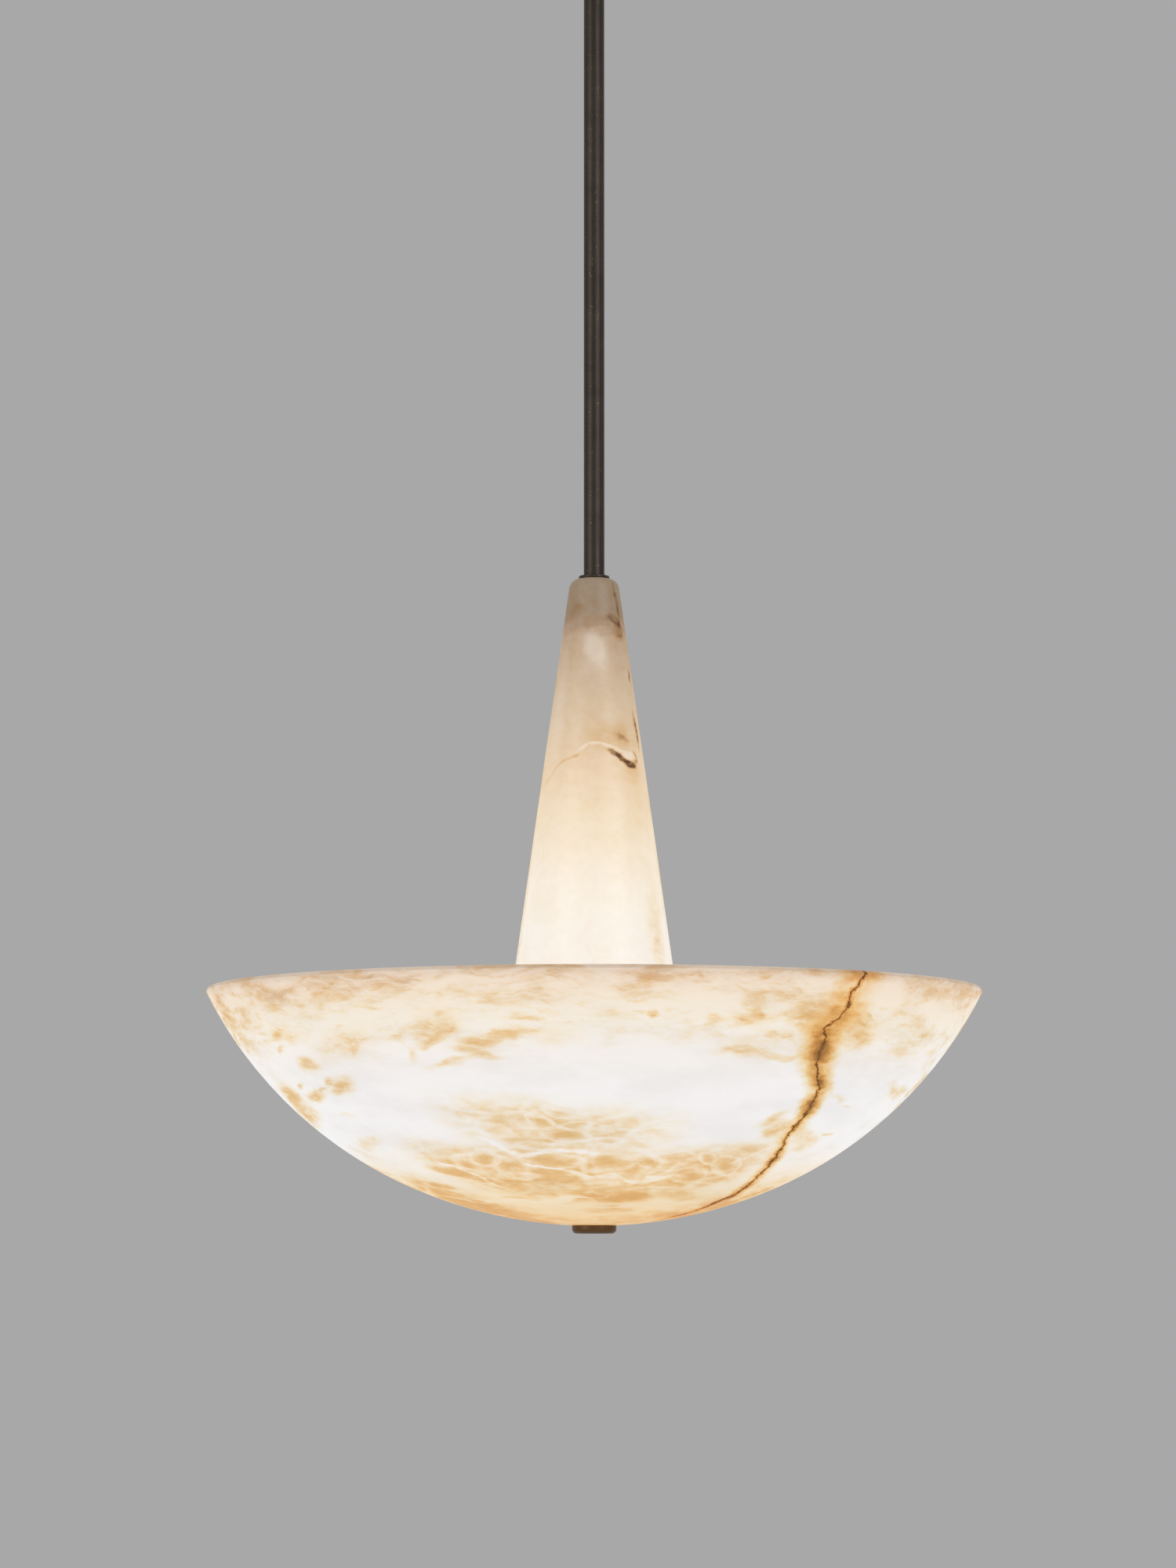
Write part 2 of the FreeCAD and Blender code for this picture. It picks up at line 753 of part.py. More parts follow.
# ---------------------------------------------------------------- canopy

def canopy():
    """Drawn brass cup that covers the swivel, open to the ceiling."""
    turned_piece("canopy", [
        ("sliding_bore", "0"),
        ("canopy_radius - canopy_edge", "0", "canopy_edge", 1),
        ("canopy_radius", "canopy_edge"),
        ("canopy_radius", "canopy_height"),
        ("canopy_radius - canopy_wall", "canopy_height"),
        ("canopy_radius - canopy_wall", "canopy_edge", "canopy_edge - canopy_wall", -1),
        ("canopy_radius - canopy_edge", "canopy_wall"),
        ("sliding_bore", "canopy_wall"),
    ], z="canopy_foot")


def canopy_collar():
    """Collar under the canopy that its grub screw locks to the stem."""
    body = new_body("canopy_collar")
    revolve(body, [
        ("sliding_bore", "0"),
        ("slide_collar_radius", "0"),
        ("slide_collar_radius", "slide_collar_height"),
        ("sliding_bore", "slide_collar_height"),
    ])
    soften(body, "Fillet", "slide_collar_round", [("slide_collar_radius", "0")])
    screw_hole = new_sketch(body, "XZ_Plane")
    hole_outline(screw_hole, "grub_radius + press_gap", up="slide_collar_height / 2")
    cut_away(body, screw_hole, "slide_collar_radius")
    place(body, z="slide_collar_foot")


def canopy_grub_screw():
    """Headless screw in the collar's back, its point just clear of the stem."""
    keep(primitive(
        "Cylinder", "canopy_grub_screw", ALONG_Y,
        y="sliding_bore", z="slide_collar_foot + slide_collar_height / 2",
        Radius="grub_radius", Height="slide_collar_radius - sliding_bore - ear_gap",
    ), "canopy_grub_screw")


# ---------------------------------------------------------------- alabaster column

def stem_collar():
    """Thin disc between the stem and the top of the column."""
    body = new_body("stem_collar")
    revolve(body, [
        ("tube_socket", "0"),
        ("collar_radius", "0"),
        ("collar_radius", "collar_thickness"),
        ("tube_socket", "collar_thickness"),
    ])
    soften(body, "Fillet", "collar_round", [("collar_radius", "0"), ("collar_radius", "collar_thickness")])
    place(body, z="column_top")


def column():
    """Hollow alabaster cone: solid at the top round the tube, open at the foot to the light."""
    body = new_body("column")
    revolve(body, [
        ("column_foot_bore", "0"),
        ("column_foot_radius", "0"),
        ("column_top_radius", "column_height"),
        ("tube_clear", "column_height"),
        ("tube_clear", "column_hollow"),
        ("column_hollow_top", "column_hollow"),
    ])
    soften(body, "Fillet", "column_shoulder", [("column_top_radius", "column_height")])
    soften(body, "Fillet", "column_foot_round", [("column_foot_radius", "0")])
    place(body, z="column_foot")


def column_spider():
    """Hub, three arms and a ring that carry the column and let the light up into it."""
    body = new_body("column_spider")
    revolve(body, [
        ("tube_socket", "0"),
        ("spider_hub_radius", "0"),
        ("spider_hub_radius", "spider_hub_height"),
        ("tube_socket", "spider_hub_height"),
    ])
    ring_foot = "spider_hub_height - spider_ring_thickness"
    arm = new_sketch(body, "XY_Plane", ring_foot)
    reach = "spider_ring_inside + spider_ring_width / 2"
    inner = "spider_hub_radius / 2 + tube_socket / 2"
    outline(arm, [
        (inner, "-spider_arm_width / 2"),
        (reach, "-spider_arm_width / 2"),
        (reach, "spider_arm_width / 2"),
        (inner, "spider_arm_width / 2"),
    ])
    first_arm = extrude(body, arm, "spider_ring_thickness")
    doc.recompute()
    arms = body.newObject("PartDesign::PolarPattern", "spider_arms")
    arms.Originals = [first_arm]
    upright = [part for part in body.Origin.OriginFeatures if part.Role == "Z_Axis"]
    arms.Axis = (upright[0], [""])
    arms.Angle = 360
    arms.Occurrences = SPIDER_ARMS
    body.Tip = arms
    revolve(body, [
        ("spider_ring_inside", ring_foot),
        ("spider_radius", ring_foot),
        ("spider_radius", "spider_hub_height"),
        ("spider_ring_inside", "spider_hub_height"),
    ])
    quarter_turn_back = FreeCAD.Rotation(FreeCAD.Vector(0, 0, 1), -90)
    place(body, quarter_turn_back, z="spider_foot")


# ---------------------------------------------------------------- lamp cluster

def flatted_disc(label, height, z):
    """A disc with the flats of the cluster, one for each lamp."""
    round_part = primitive("Cylinder", label + "_round", z=z, Radius="cluster_radius", Height=height)
    flat_part = prism(label + "_flats", LAMPS, "cluster_corner", height, z)
    return together("Common", label, round_part, flat_part)


def lamp_turn(index):
    """Rotation that lays an upright piece along the radius of one lamp, square to its flat."""
    about = FreeCAD.Rotation(FreeCAD.Vector(0, 0, 1), (index + 0.5) * 360 / LAMPS)
    return about.multiply(ALONG_X)


def lamp_cluster():
    """Cast cup that the lampholders screw into, open at the top."""
    blank = flatted_disc("cluster_blank", "cluster_height", "cluster_foot")
    hollow = primitive("Cylinder", "cluster_hollow", z="terminal_foot",
                       Radius="cluster_bore", Height="cluster_height")
    bore = primitive("Cylinder", "cluster_hole", z="cluster_foot", Radius="tube_socket",
                     Height="cluster_height")
    nipple_holes = [
        primitive("Cylinder", f"cluster_side_hole_{index + 1}", lamp_turn(index), z="lamp_level",
                  Radius="nipple_radius + press_gap", Height="cluster_radius")
        for index in range(LAMPS)
    ]
    keep(minus("lamp_cluster", blank, hollow, bore, *nipple_holes), "lamp_cluster")


def cluster_lid():
    """Lid with a lip inside the cup."""
    top = flatted_disc("lid_plate", "lid_thickness", "cluster_top")
    lip = primitive("Cylinder", "lid_lip", z="cluster_top - lid_lip",
                    Radius="cluster_bore - ear_gap", Height="lid_lip")
    bore = primitive("Cylinder", "lid_hole", z="cluster_top - lid_lip", Radius="tube_socket",
                     Height="lid_thickness + lid_lip")
    keep(minus("cluster_lid", together("Fuse", "lid_blank", top, lip), bore), "cluster_lid")


def cluster_terminal():
    """Square ceramic frame round the tube, in which supply wires and lamp leads meet."""
    outside = prism("terminal_outside", LAMPS, "terminal_corner", "terminal_height", "terminal_foot")
    inside = block("terminal_inside", "terminal_hole_half_width", "terminal_hole_half_width",
                   "terminal_height", "terminal_foot")
    keep(minus("cluster_terminal", outside, inside), "cluster_terminal")


def lampholder(index):
    """Candle-size screw holder: tapered base, straight skirt, open socket."""
    body = new_body(f"lampholder_{index + 1}")
    thread = "nipple_radius + press_gap"
    skirt_end = "holder_start + holder_length"
    revolve(body, [
        (thread, "holder_start"),
        ("holder_base_radius", "holder_start"),
        ("holder_radius", "holder_start + holder_taper"),
        ("holder_radius", skirt_end),
        ("socket_bore", skirt_end),
        ("socket_bore", "socket_floor"),
        ("0", "socket_floor"),
        ("0", "holder_start + holder_thread_depth"),
        (thread, "holder_start + holder_thread_depth"),
    ])
    soften(body, "Fillet", "holder_round", [("holder_radius", skirt_end)])
    place(body, lamp_turn(index), z="lamp_level")


def lamp(index):
    """Opal globe lamp: metal screw cap in the holder, and the glass on it."""
    turned_piece(f"lamp_cap_{index + 1}", [
        ("0", "socket_floor"),
        ("lamp_tip_radius", "socket_floor"),
        ("lamp_tip_radius", "socket_floor + lamp_tip_height"),
        ("lamp_cap_radius", "socket_floor + lamp_tip_height"),
        ("lamp_cap_radius", "lamp_cap_end"),
        ("0", "lamp_cap_end"),
    ], z="lamp_level", rotation=lamp_turn(index))
    turned_piece(f"lamp_globe_{index + 1}", [
        ("0", "lamp_cap_end"),
        ("lamp_neck_radius", "lamp_cap_end"),
        ("lamp_shoulder_radius", "globe_centre - shoulder_rise", "lamp_globe_radius", 1),
        ("lamp_globe_radius", "globe_centre", "lamp_globe_radius", 1),
        ("0", "globe_centre + lamp_globe_radius"),
    ], z="lamp_level", rotation=lamp_turn(index))


def lamp_fasteners():
    """The hollow nipples, the nuts on the cluster's flats and the leads to each lamp, by kind."""
    nipples = []
    nuts = []
    leads = []
    for index in range(LAMPS):
        tube = primitive("Cylinder", f"nipple_tube_{index + 1}", z="nipple_start",
                         Radius="nipple_radius", Height="nipple_length")
        hole = primitive("Cylinder", f"nipple_hole_{index + 1}", z="nipple_start",
                         Radius="nipple_bore", Height="nipple_length")
        nipples.append(minus(f"nipple_{index + 1}", tube, hole))
        nuts.append(hex_nut(f"holder_nut_{index + 1}", "holder_nut_half_flats", "holder_nut_height",
                            "nipple_radius + press_gap", "cluster_half_flats"))
        pair = [
            primitive("Cylinder", f"lead_{index + 1}_{name}", y=offset, z="terminal_half_width",
                      Radius="lead_radius", Height="lead_length")
            for name, offset in (("left", "lead_offset"), ("right", "-lead_offset"))
        ]
        leads.append(together("Fuse", f"lead_pair_{index + 1}", *pair))
        for part in (nipples[-1], nuts[-1], leads[-1]):
            place(part, lamp_turn(index), z="lamp_level")
    for label, parts in (("holder_nipples", nipples), ("holder_nuts", nuts), ("lamp_leads", leads)):
        group = doc.addObject("Part::Compound", label)
        group.Links = parts
        keep(group, label)


# ---------------------------------------------------------------- tube, nuts and bowl

def tie_tube():
    """Threaded tube from the stem to the finial, with a window for the wires in the cluster."""
    body = new_body("tie_tube")
    revolve(body, [
        ("tube_bore", "0"),
        ("tube_radius", "0"),
        ("tube_radius", "tube_length"),
        ("tube_bore", "tube_length"),
    ])
    window = new_sketch(body, "XZ_Plane")
    half = "wire_pitch + wire_radius + slide_gap"
    low = "lamp_level - tube_foot - wire_radius - hole_gap"
    high = "lamp_level - tube_foot + low_wire_bend + wire_radius + hole_gap"
    outline(window, [
        ("-wire_pitch - wire_radius - slide_gap", low),
        (half, low),
        (half, high),
        ("-wire_pitch - wire_radius - slide_gap", high),
    ])
    cut_away(body, window, "tube_radius")
    place(body, z="tube_foot")


def bowl():
    """Turned alabaster bowl, spot-faced inside and out round the hole for the tube."""
    body = new_body("bowl")
    recess = "outer_seat + lower_gasket_thickness"
    revolve(body, [
        ("bowl_hole_radius", recess),
        ("lower_gasket_radius", recess),
        ("lower_gasket_radius", "outer_seat"),
        ("outer_seat_radius", "outer_seat", "bowl_base_curve", 1),
        ("bowl_join_radius", "join_height", "bowl_side_curve", 1),
        ("bowl_radius", "bowl_depth"),
        ("inner_rim_radius", "bowl_depth", "inner_side_curve", -1),
        ("inner_join_radius", "inner_join_height", "inner_base_curve", -1),
        ("inner_seat_radius", "inner_seat"),
        ("bowl_hole_radius", "inner_seat"),
    ])
    soften(body, "Fillet", "bowl_rim_round", [("bowl_radius", "bowl_depth"), ("inner_rim_radius", "bowl_depth")])
    place(body, z="bowl_base")


def finial():
    """Bronze disc under the bowl, its spigot in the stone and its blind thread on the tube."""
    body = new_body("finial")
    revolve(body, [
        ("0", "0"),
        ("finial_radius", "0"),
        ("finial_radius", "finial_thickness"),
        ("spigot_radius", "finial_thickness"),
        ("spigot_radius", "finial_thickness + spigot_height"),
        ("tube_socket", "finial_thickness + spigot_height"),
        ("tube_socket", "finial_bore_floor"),
        ("0", "finial_bore_floor"),
    ])
    soften(body, "Fillet", "finial_round", [("finial_radius", "0")])
    place(body, z="finial_foot")


# ---------------------------------------------------------------- the whole pendant

def build_pieces():
    """Every piece, from the ceiling down."""
    ceiling_bracket()
    earth_screw()
    upper_yoke()
    pivot_pin("upper_pivot_pin", "upper_pivot", ALONG_X)
    swivel_block()
    pivot_pin("lower_pivot_pin", "lower_pivot", ALONG_Y)
    lower_yoke()
    canopy()
    canopy_collar()
    canopy_grub_screw()
    stem()
    for label, offset in (("wire_brown", "-wire_pitch"), ("wire_blue", "0"), ("wire_earth", "wire_pitch")):
        supply_wire(label, offset)
    connector_block()
    stem_collar()
    column()
    ring("column_gasket", "spider_ring_inside", "spider_radius", "foot_gasket_thickness", "spider_top")
    column_spider()
    tie_tube()
    for label, level in (
        ("spider_nut", "spider_foot - nut_height"),
        ("cluster_top_nut", "cluster_lid_top"),
        ("cluster_bottom_nut", "cluster_foot - nut_height"),
        ("bowl_stop_nut", "inner_seat_level + upper_gasket_thickness + washer_thickness"),
    ):
        keep(hex_nut(label, "nut_half_flats", "nut_height", "tube_socket", level), label)
    lamp_cluster()
    cluster_lid()
    cluster_terminal()
    for index in range(LAMPS):
        lampholder(index)
        lamp(index)
    lamp_fasteners()
    ring("bowl_stop_washer", "tube_socket", "washer_radius", "washer_thickness",
         "inner_seat_level + upper_gasket_thickness")
    ring("bowl_upper_gasket", "tube_socket", "washer_radius", "upper_gasket_thickness", "inner_seat_level")
    bowl()
    ring("bowl_lower_gasket", "bowl_hole_radius", "lower_gasket_radius", "lower_gasket_thickness",
         "outer_seat_level")
    finial()


def check_and_write():
    """Stop on any failed feature or bad solid, then write one STEP file for each piece."""
    doc.recompute()
    failed = [item.Name for item in doc.Objects if {"Invalid", "Error"} & set(item.State)]
    if failed:
        raise ValueError(f"failed features: {failed}")
    for piece in pieces:
        if piece.Shape.isNull() or not piece.Shape.isValid() or not piece.Shape.Solids:
            raise ValueError(f"{piece.Label} has no valid solid")
    os.makedirs("parts", exist_ok=True)
    for piece in pieces:
        piece.Shape.exportStep(os.path.join("parts", piece.Label + ".step"))
        print(f"{piece.Label}: {len(piece.Shape.Solids)} solid(s), {piece.Shape.Volume:.1f} mm3")


build_pieces()
check_and_write()
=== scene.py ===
"""Alabaster bowl pendant: the finishes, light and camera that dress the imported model.

The tables hold millimetres and degrees. Azimuth is 0 at the front and grows to the right.
"""

import math

import bpy
from bpy.props import FloatProperty, FloatVectorProperty, PointerProperty
from mathutils import Matrix, Vector


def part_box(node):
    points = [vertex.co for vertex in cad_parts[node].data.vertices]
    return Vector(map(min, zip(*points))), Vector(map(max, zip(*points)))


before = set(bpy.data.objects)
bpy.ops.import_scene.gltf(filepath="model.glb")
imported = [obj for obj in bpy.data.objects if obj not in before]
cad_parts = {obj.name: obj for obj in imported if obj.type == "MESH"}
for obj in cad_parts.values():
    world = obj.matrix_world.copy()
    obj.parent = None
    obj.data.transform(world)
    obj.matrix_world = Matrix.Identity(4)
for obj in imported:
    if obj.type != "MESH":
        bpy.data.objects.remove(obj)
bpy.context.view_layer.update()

bl_info = {
    "name": "Alabaster bowl pendant",
    "version": (1, 0, 0),
    "blender": (4, 5, 0),
    "location": "3D View > Sidebar > Pendant",
    "description": "Finishes an alabaster bowl pendant and sets it in a plain studio",
    "category": "Object",
}

COORDINATES = "ShaderNodeTexCoord"
MAPPING = "ShaderNodeMapping"
GRADIENT = "ShaderNodeTexGradient"
VECTOR = "ShaderNodeVectorMath"
MATH = "ShaderNodeMath"
SPLIT = "ShaderNodeSeparateXYZ"
RANGE = "ShaderNodeMapRange"
NOISE = "ShaderNodeTexNoise"
CELLS = "ShaderNodeTexVoronoi"
RAMP = "ShaderNodeValToRGB"
CURVE = "ShaderNodeFloatCurve"
MIX = "ShaderNodeMix"
BUMP = "ShaderNodeBump"

# Millimetres in a metre
MM = 1000.0
# Levels of the two stones and the bowl's middle, in millimetres, read from the frame
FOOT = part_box("bowl")[0][2] * MM
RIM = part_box("bowl")[1][2] * MM
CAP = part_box("column")[1][2] * MM
AXIS = (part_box("bowl")[0][0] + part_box("bowl")[1][0]) * MM / 2

# The camera: three metres away and a little under the rim, looking slightly up
CAMERA_PLACE = (-0.004, -3.0, -0.9713)
CAMERA_TILT = 96.05
LENS = 106.6
SENSOR = 36.0
SIGHT = 60.0
# Two large soft lamps, one each side of the camera: name, place in m, power in W
STUDIO_LAMPS = (("key", (2.2, -2.6, 0.3), 20.0), ("fill", (-2.4, -2.2, -0.1), 17.0))
LAMP_SIZE = 2.0
LAMP_AIM = (0.0, 0.0, -0.75)
SKY = (0.62, 0.62, 0.62)
FLOOR_HALF = 6.0

# The bowl's outside: a wide arc up to its join, then a tighter one to the rim
LOWER_ARC = 294.0
JOIN_RADIUS = 115.0
UPPER_ARC = 270.4
# The column's outside at its shoulder and at its foot
COLUMN_TOP_RADIUS = 15.45
COLUMN_RIM_RADIUS = 53.1
COLUMN_RIM_DROP = 268.0

STONE_IOR = 1.52
# A mark reaches at least this deep, so it shows on both faces of the wall, and a wide one
# reaches this share of its half width
MARK_DEPTH = 25.0
MARK_DEPTH_SHARE = 0.6
# Each oval of a vein reaches a little past its stretch, so that the vein has no gaps
VEIN_REACH = 0.62
VEIN_SOFTNESS = 0.6
# Most of a random cloud lies between these strengths
USUAL = (0.3, 0.7)
# How patterns are squeezed across, backwards and up: level layers in the two stones, long
# fibres, flat cells, and the lines brushed along the bronze
LAYERS = (0.3, 0.3, 1.0)
COLUMN_LAYERS = (0.5, 0.5, 1.0)
FIBRES = (0.2, 0.2, 1.0)
FLAT_CELLS = (0.5, 0.5, 1.2)
BRUSH_LINES = (1.0, 1.0, 0.02)
# How strongly each kind of mark shows, where 1 is the darkest
WISP_STRENGTH = 0.25
SMOKE_STRENGTH = 0.66
BAND_STRENGTH = 0.24
GROUND_STRENGTH = 0.38
AMBER_STRENGTH = 0.68
CELL_STRENGTH = 0.46
STREAK_STRENGTH = 0.34
EDGE_STRENGTH = 0.80
HALO_STRENGTH = 0.78
# No mark but the crack is darker than this, and how gently it is held there
DARKEST_MARK = 0.58
DARKEST_ROUNDING = 0.35
# How much whiter the pale spots and veins of the column are
PALE_STRENGTH = 0.19

# Heights over the bowl's foot: where the wisps set in, where the honey-coloured ground of the
# sides and back ends, and where the stain round the crack widens
WISP_HEIGHTS = (88.0, 126.0)
GROUND_HEIGHTS = (52.0, 14.0)
HALO_HEIGHTS = (60.0, 120.0)
# Least and most depth of the smoky band under the rim
SMOKE_DEPTHS = (8.0, 34.0)
# From front to back, where the marks of the sides and back set in
BOWL_SIDES = (-95.0, -25.0)
COLUMN_SIDES = (-14.0, 4.0)
# Distance from the foot's middle over which the crack sets in, and the longest that is drawn
CRACK_START = (48.0, 62.0)
CRACK_SPAN = 300.0
QUARTER = 90.0
# The crack's dark line: least and most reach of its soft edge, in half widths of the line
CRACK_SWELL = (2.2, 4.4)
# The stain round the crack: near the foot and under the rim, in half widths of the stain
HALO_SWELL = (0.6, 1.5)
# Length over which the column's light is drawn, and how unevenly it stops at the solid cap
LIT_SPAN = 293.0
CAP_DRIFT = (-4.0, 4.0)

# Light through the clear stone of the bowl, from foot to rim
BOWL_LIGHT = (
    (0.03, "#D6BF98"), (0.13, "#D8CAAE"), (0.23, "#DAD6D0"), (0.36, "#D9DBDE"),
    (0.55, "#D9DBDE"), (0.68, "#D9D8D7"), (0.80, "#D9D4C9"), (0.89, "#D8CDBB"),
    (0.955, "#D5C7B7"), (0.99, "#C1B3A6"),
)
# What the warm marks, the smoke and the crack let through, from none to the strongest
STAIN_TINT = (
    (0.0, (1.0, 1.0, 1.0)), (0.15, (1.0, 0.935, 0.81)), (0.3, (0.975, 0.81, 0.57)),
    (0.5, (0.90, 0.62, 0.30)), (0.62, (0.82, 0.48, 0.15)), (1.0, (0.64, 0.30, 0.06)),
)
SMOKE_TINT = (
    (0.0, (1.0, 1.0, 1.0)), (0.3, (0.93, 0.85, 0.76)), (0.6, (0.78, 0.66, 0.55)),
    (1.0, (0.56, 0.44, 0.34)),
)
CRACK_TINT = (
    (0.0, (1.0, 1.0, 1.0)), (0.25, (0.985, 0.83, 0.56)), (0.5, (0.93, 0.58, 0.20)),
    (0.75, (0.74, 0.32, 0.04)), (0.9, (0.40, 0.16, 0.02)), (1.0, (0.17, 0.07, 0.015)),
)
# Pale rim round a cell, between the ground outside it and the amber inside
CELL_OUTLINE = (
    (0.16, (0.0, 0.0, 0.0)), (0.30, (0.36, 0.36, 0.36)), (0.36, (0.36, 0.36, 0.36)),
    (0.60, (0.0, 0.0, 0.0)),
)
# Light through the column, from its cap down, and what its marks let through
COLUMN_LIGHT = (
    (0.0, (0.075, 0.046, 0.018)), (0.08, (0.085, 0.046, 0.014)), (0.105, (0.135, 0.065, 0.022)),
    (0.14, (0.26, 0.176, 0.10)), (0.27, (0.40, 0.30, 0.19)), (0.44, (0.58, 0.444, 0.293)),
    (0.53, (0.645, 0.543, 0.397)), (0.62, (0.678, 0.61, 0.494)), (0.70, (0.70, 0.667, 0.586)),
    (0.79, (0.70, 0.685, 0.645)), (1.0, (0.70, 0.685, 0.65)),
)
COLUMN_TINT = (
    (0.0, (1.0, 1.0, 1.0)), (0.15, (0.97, 0.92, 0.82)), (0.3, (0.93, 0.80, 0.62)),
    (0.5, (0.70, 0.52, 0.32)), (0.7, (0.38, 0.25, 0.13)), (1.0, (0.10, 0.05, 0.02)),
)
PALE_LIGHT = (0.95, 0.95, 0.95)

# Heights over the foot between which the bowl's glow is painted on the metal under it, as a
# warmer, lighter tone
PAINTED_GLOW_HEIGHTS = (60.0, 10.0)
# Size of the zinc's crystals, half the pitch of the lamps' caps, and the reach of a lamp from
# the pendant's axis
CRYSTAL = 2.5
CAP_HALF_PITCH = 1.4
LAMP_REACH = 150.0
# How far the earth wire's stripe wanders, and half the width of its soft edge
STRIPE_WANDER = (-0.25, 0.25)
STRIPE_EDGE = 0.08

# Marks in the bowl: azimuth from the front in degrees, height above the foot, half width,
# half height in mm, turn in degrees, strength, softness of the edge. First the smoky clouds
# under the rim, then the warm marks
BOWL_CLOUDS = (
    (-71, 140, 26, 6, 2, 0.17, 0.6), (-63, 134, 26, 5, -1, 0.14, 0.7),
    (-51, 140, 28, 6, 1, 0.34, 0.6), (-39, 143, 23, 5, 1, 0.22, 0.7),
    (-29, 144, 26, 7, 1, 0.34, 0.6), (-17, 145, 25, 6, -1, 0.24, 0.7),
    (-7, 140, 26, 8, 0, 0.30, 0.7), (-9, 132, 16, 4, -1, 0.26, 0.7),
    (3, 145, 28, 6, 0, 0.24, 0.7), (17, 142, 12, 4, 0, 0.26, 0.7),
    (32, 137, 22, 10, -15, 0.26, 0.7), (16, 147, 30, 4, -1, 0.22, 0.7),
    (58, 144, 41, 5, 0, 0.08, 0.7),
)
BOWL_MARKS = (
    # brushed smudges, left of the middle
    (-24, 119, 13, 8, 8, 0.26, 0.8), (-24, 112, 9, 3, 21, 0.34, 0.8),
    (-27, 109, 6, 3, 15, 0.26, 0.8), (-30, 101, 7, 3, 65, 0.22, 0.8),
    (-32, 111, 7, 3, 11, 0.22, 0.8), (-15, 110, 21, 4, 9, 0.44, 0.8),
    (-19, 102, 12, 3, -13, 0.34, 0.8), (-24, 96, 15, 3, 14, 0.34, 0.8),
    (-10, 120, 11, 2, 3, 0.24, 0.8), (-6, 110, 13, 6, 2, 0.16, 0.8),
    (-43, 110, 24, 9, 16, 0.20, 0.8), (-41, 107, 7, 3, 50, 0.26, 0.8),
    # flecks and round spots at the far left
    (-56, 115, 18, 5, -1, 0.26, 0.8), (-59, 115, 6, 2, 5, 0.28, 0.8),
    (-63, 112, 11, 2, 0, 0.24, 0.8), (-60, 106, 6, 2, 4, 0.28, 0.8),
    (-55, 97, 10, 5, 7, 0.44, 0.8), (-53, 88, 6, 3, 17, 0.38, 0.8),
    (-50, 84, 13, 6, 13, 0.52, 0.8), (-61, 79, 13, 4, 5, 0.54, 0.8),
    (-57, 83, 7, 2, 13, 0.42, 0.8), (-63, 86, 6, 2, 12, 0.38, 0.8),
    (-73, 83, 17, 8, 8, 0.50, 0.8), (-76, 70, 23, 11, 12, 0.46, 0.8),
    (-56, 68, 7, 2, 5, 0.20, 0.8), (-59, 51, 17, 5, 20, 0.24, 0.8),
    # smudges between the middle and the crack
    (9, 123, 3, 2, -24, 0.44, 0.8), (7, 124, 6, 1, -5, 0.22, 0.8),
    (24, 121, 14, 4, 3, 0.30, 0.8), (18, 119, 6, 2, 4, 0.32, 0.8),
    (24, 103, 16, 5, -5, 0.34, 0.8), (29, 113, 13, 3, -6, 0.24, 0.8),
    (32, 101, 18, 3, -2, 0.30, 0.8),
    # stains beside the crack
    (43, 120, 21, 7, -4, 0.36, 0.8), (45, 111, 14, 6, 6, 0.28, 0.8),
    (33, 122, 14, 7, -20, 0.30, 0.8), (40, 58, 10, 8, -30, 0.48, 0.8),
    (48, 57, 18, 6, -26, 0.38, 0.8), (37, 64, 10, 3, 30, 0.30, 0.8),
    (54, 49, 8, 5, 13, 0.28, 0.8),
    # flecks at the far right
    (59, 107, 14, 6, 8, 0.18, 0.8), (63, 119, 10, 3, 5, 0.16, 0.8),
    (56, 122, 16, 2, 2, 0.12, 0.8), (71, 110, 9, 3, 10, 0.20, 0.8),
    (70, 84, 18, 4, -11, 0.30, 0.8), (50, 76, 6, 2, -3, 0.30, 0.8),
    (55, 73, 6, 1, -2, 0.22, 0.8), (58, 55, 6, 2, -12, 0.30, 0.8),
    # warm edges by the foot
    (-66, 21, 19, 16, 50, 0.40, 0.8), (-58, 11, 23, 22, -72, 0.36, 0.8),
    (7, 17, 15, 6, -2, 0.30, 0.8), (7, 9, 11, 7, -4, 0.30, 0.8),
    (34, 17, 13, 6, -2, 0.24, 0.8), (60, 6, 25, 8, 0, 0.40, 0.8),
)
# Honey-coloured cells low in the bowl, each with a pale outline
BOWL_CELLS = (
    (-7, 67, 9, 4, -12, 0.7, 1.0), (-11, 61, 7, 5, -35, 0.9, 1.0), (-4, 59, 9, 4, 10, 0.8, 1.0),
    (-6, 53, 12, 6, -12, 1.0, 1.0), (-21, 55, 12, 7, -18, 0.6, 1.0), (3, 50, 9, 4, 4, 0.7, 1.0),
    (-13, 47, 10, 4, 2, 0.7, 1.0), (-11, 38, 15, 7, -4, 1.0, 1.0), (-28, 40, 9, 7, 14, 1.0, 1.0),
    (-41, 32, 20, 9, -21, 1.0, 1.0), (-33, 27, 12, 5, -25, 0.8, 1.0), (3, 37, 13, 9, 6, 1.0, 1.0),
    (13, 39, 9, 6, -50, 0.9, 1.0), (27, 30, 11, 8, -20, 1.0, 1.0), (36, 36, 12, 7, -40, 1.0, 1.0),
    (28, 40, 7, 4, -40, 0.8, 1.0), (11, 67, 11, 4, -20, 0.45, 1.0), (18, 31, 9, 6, -8, 0.6, 1.0),
    (-22, 29, 13, 5, -6, 0.6, 1.0), (-2, 24, 18, 4, 0, 0.6, 1.0), (20, 21, 16, 4, 0, 0.6, 1.0),
    (-30, 17, 20, 4, -6, 0.7, 1.0), (5, 12, 16, 4, 0, 0.7, 1.0), (35, 24, 14, 4, -10, 0.6, 1.0),
    (-55, 24, 20, 6, -24, 0.8, 1.0), (48, 30, 12, 4, -16, 0.5, 1.0),
)
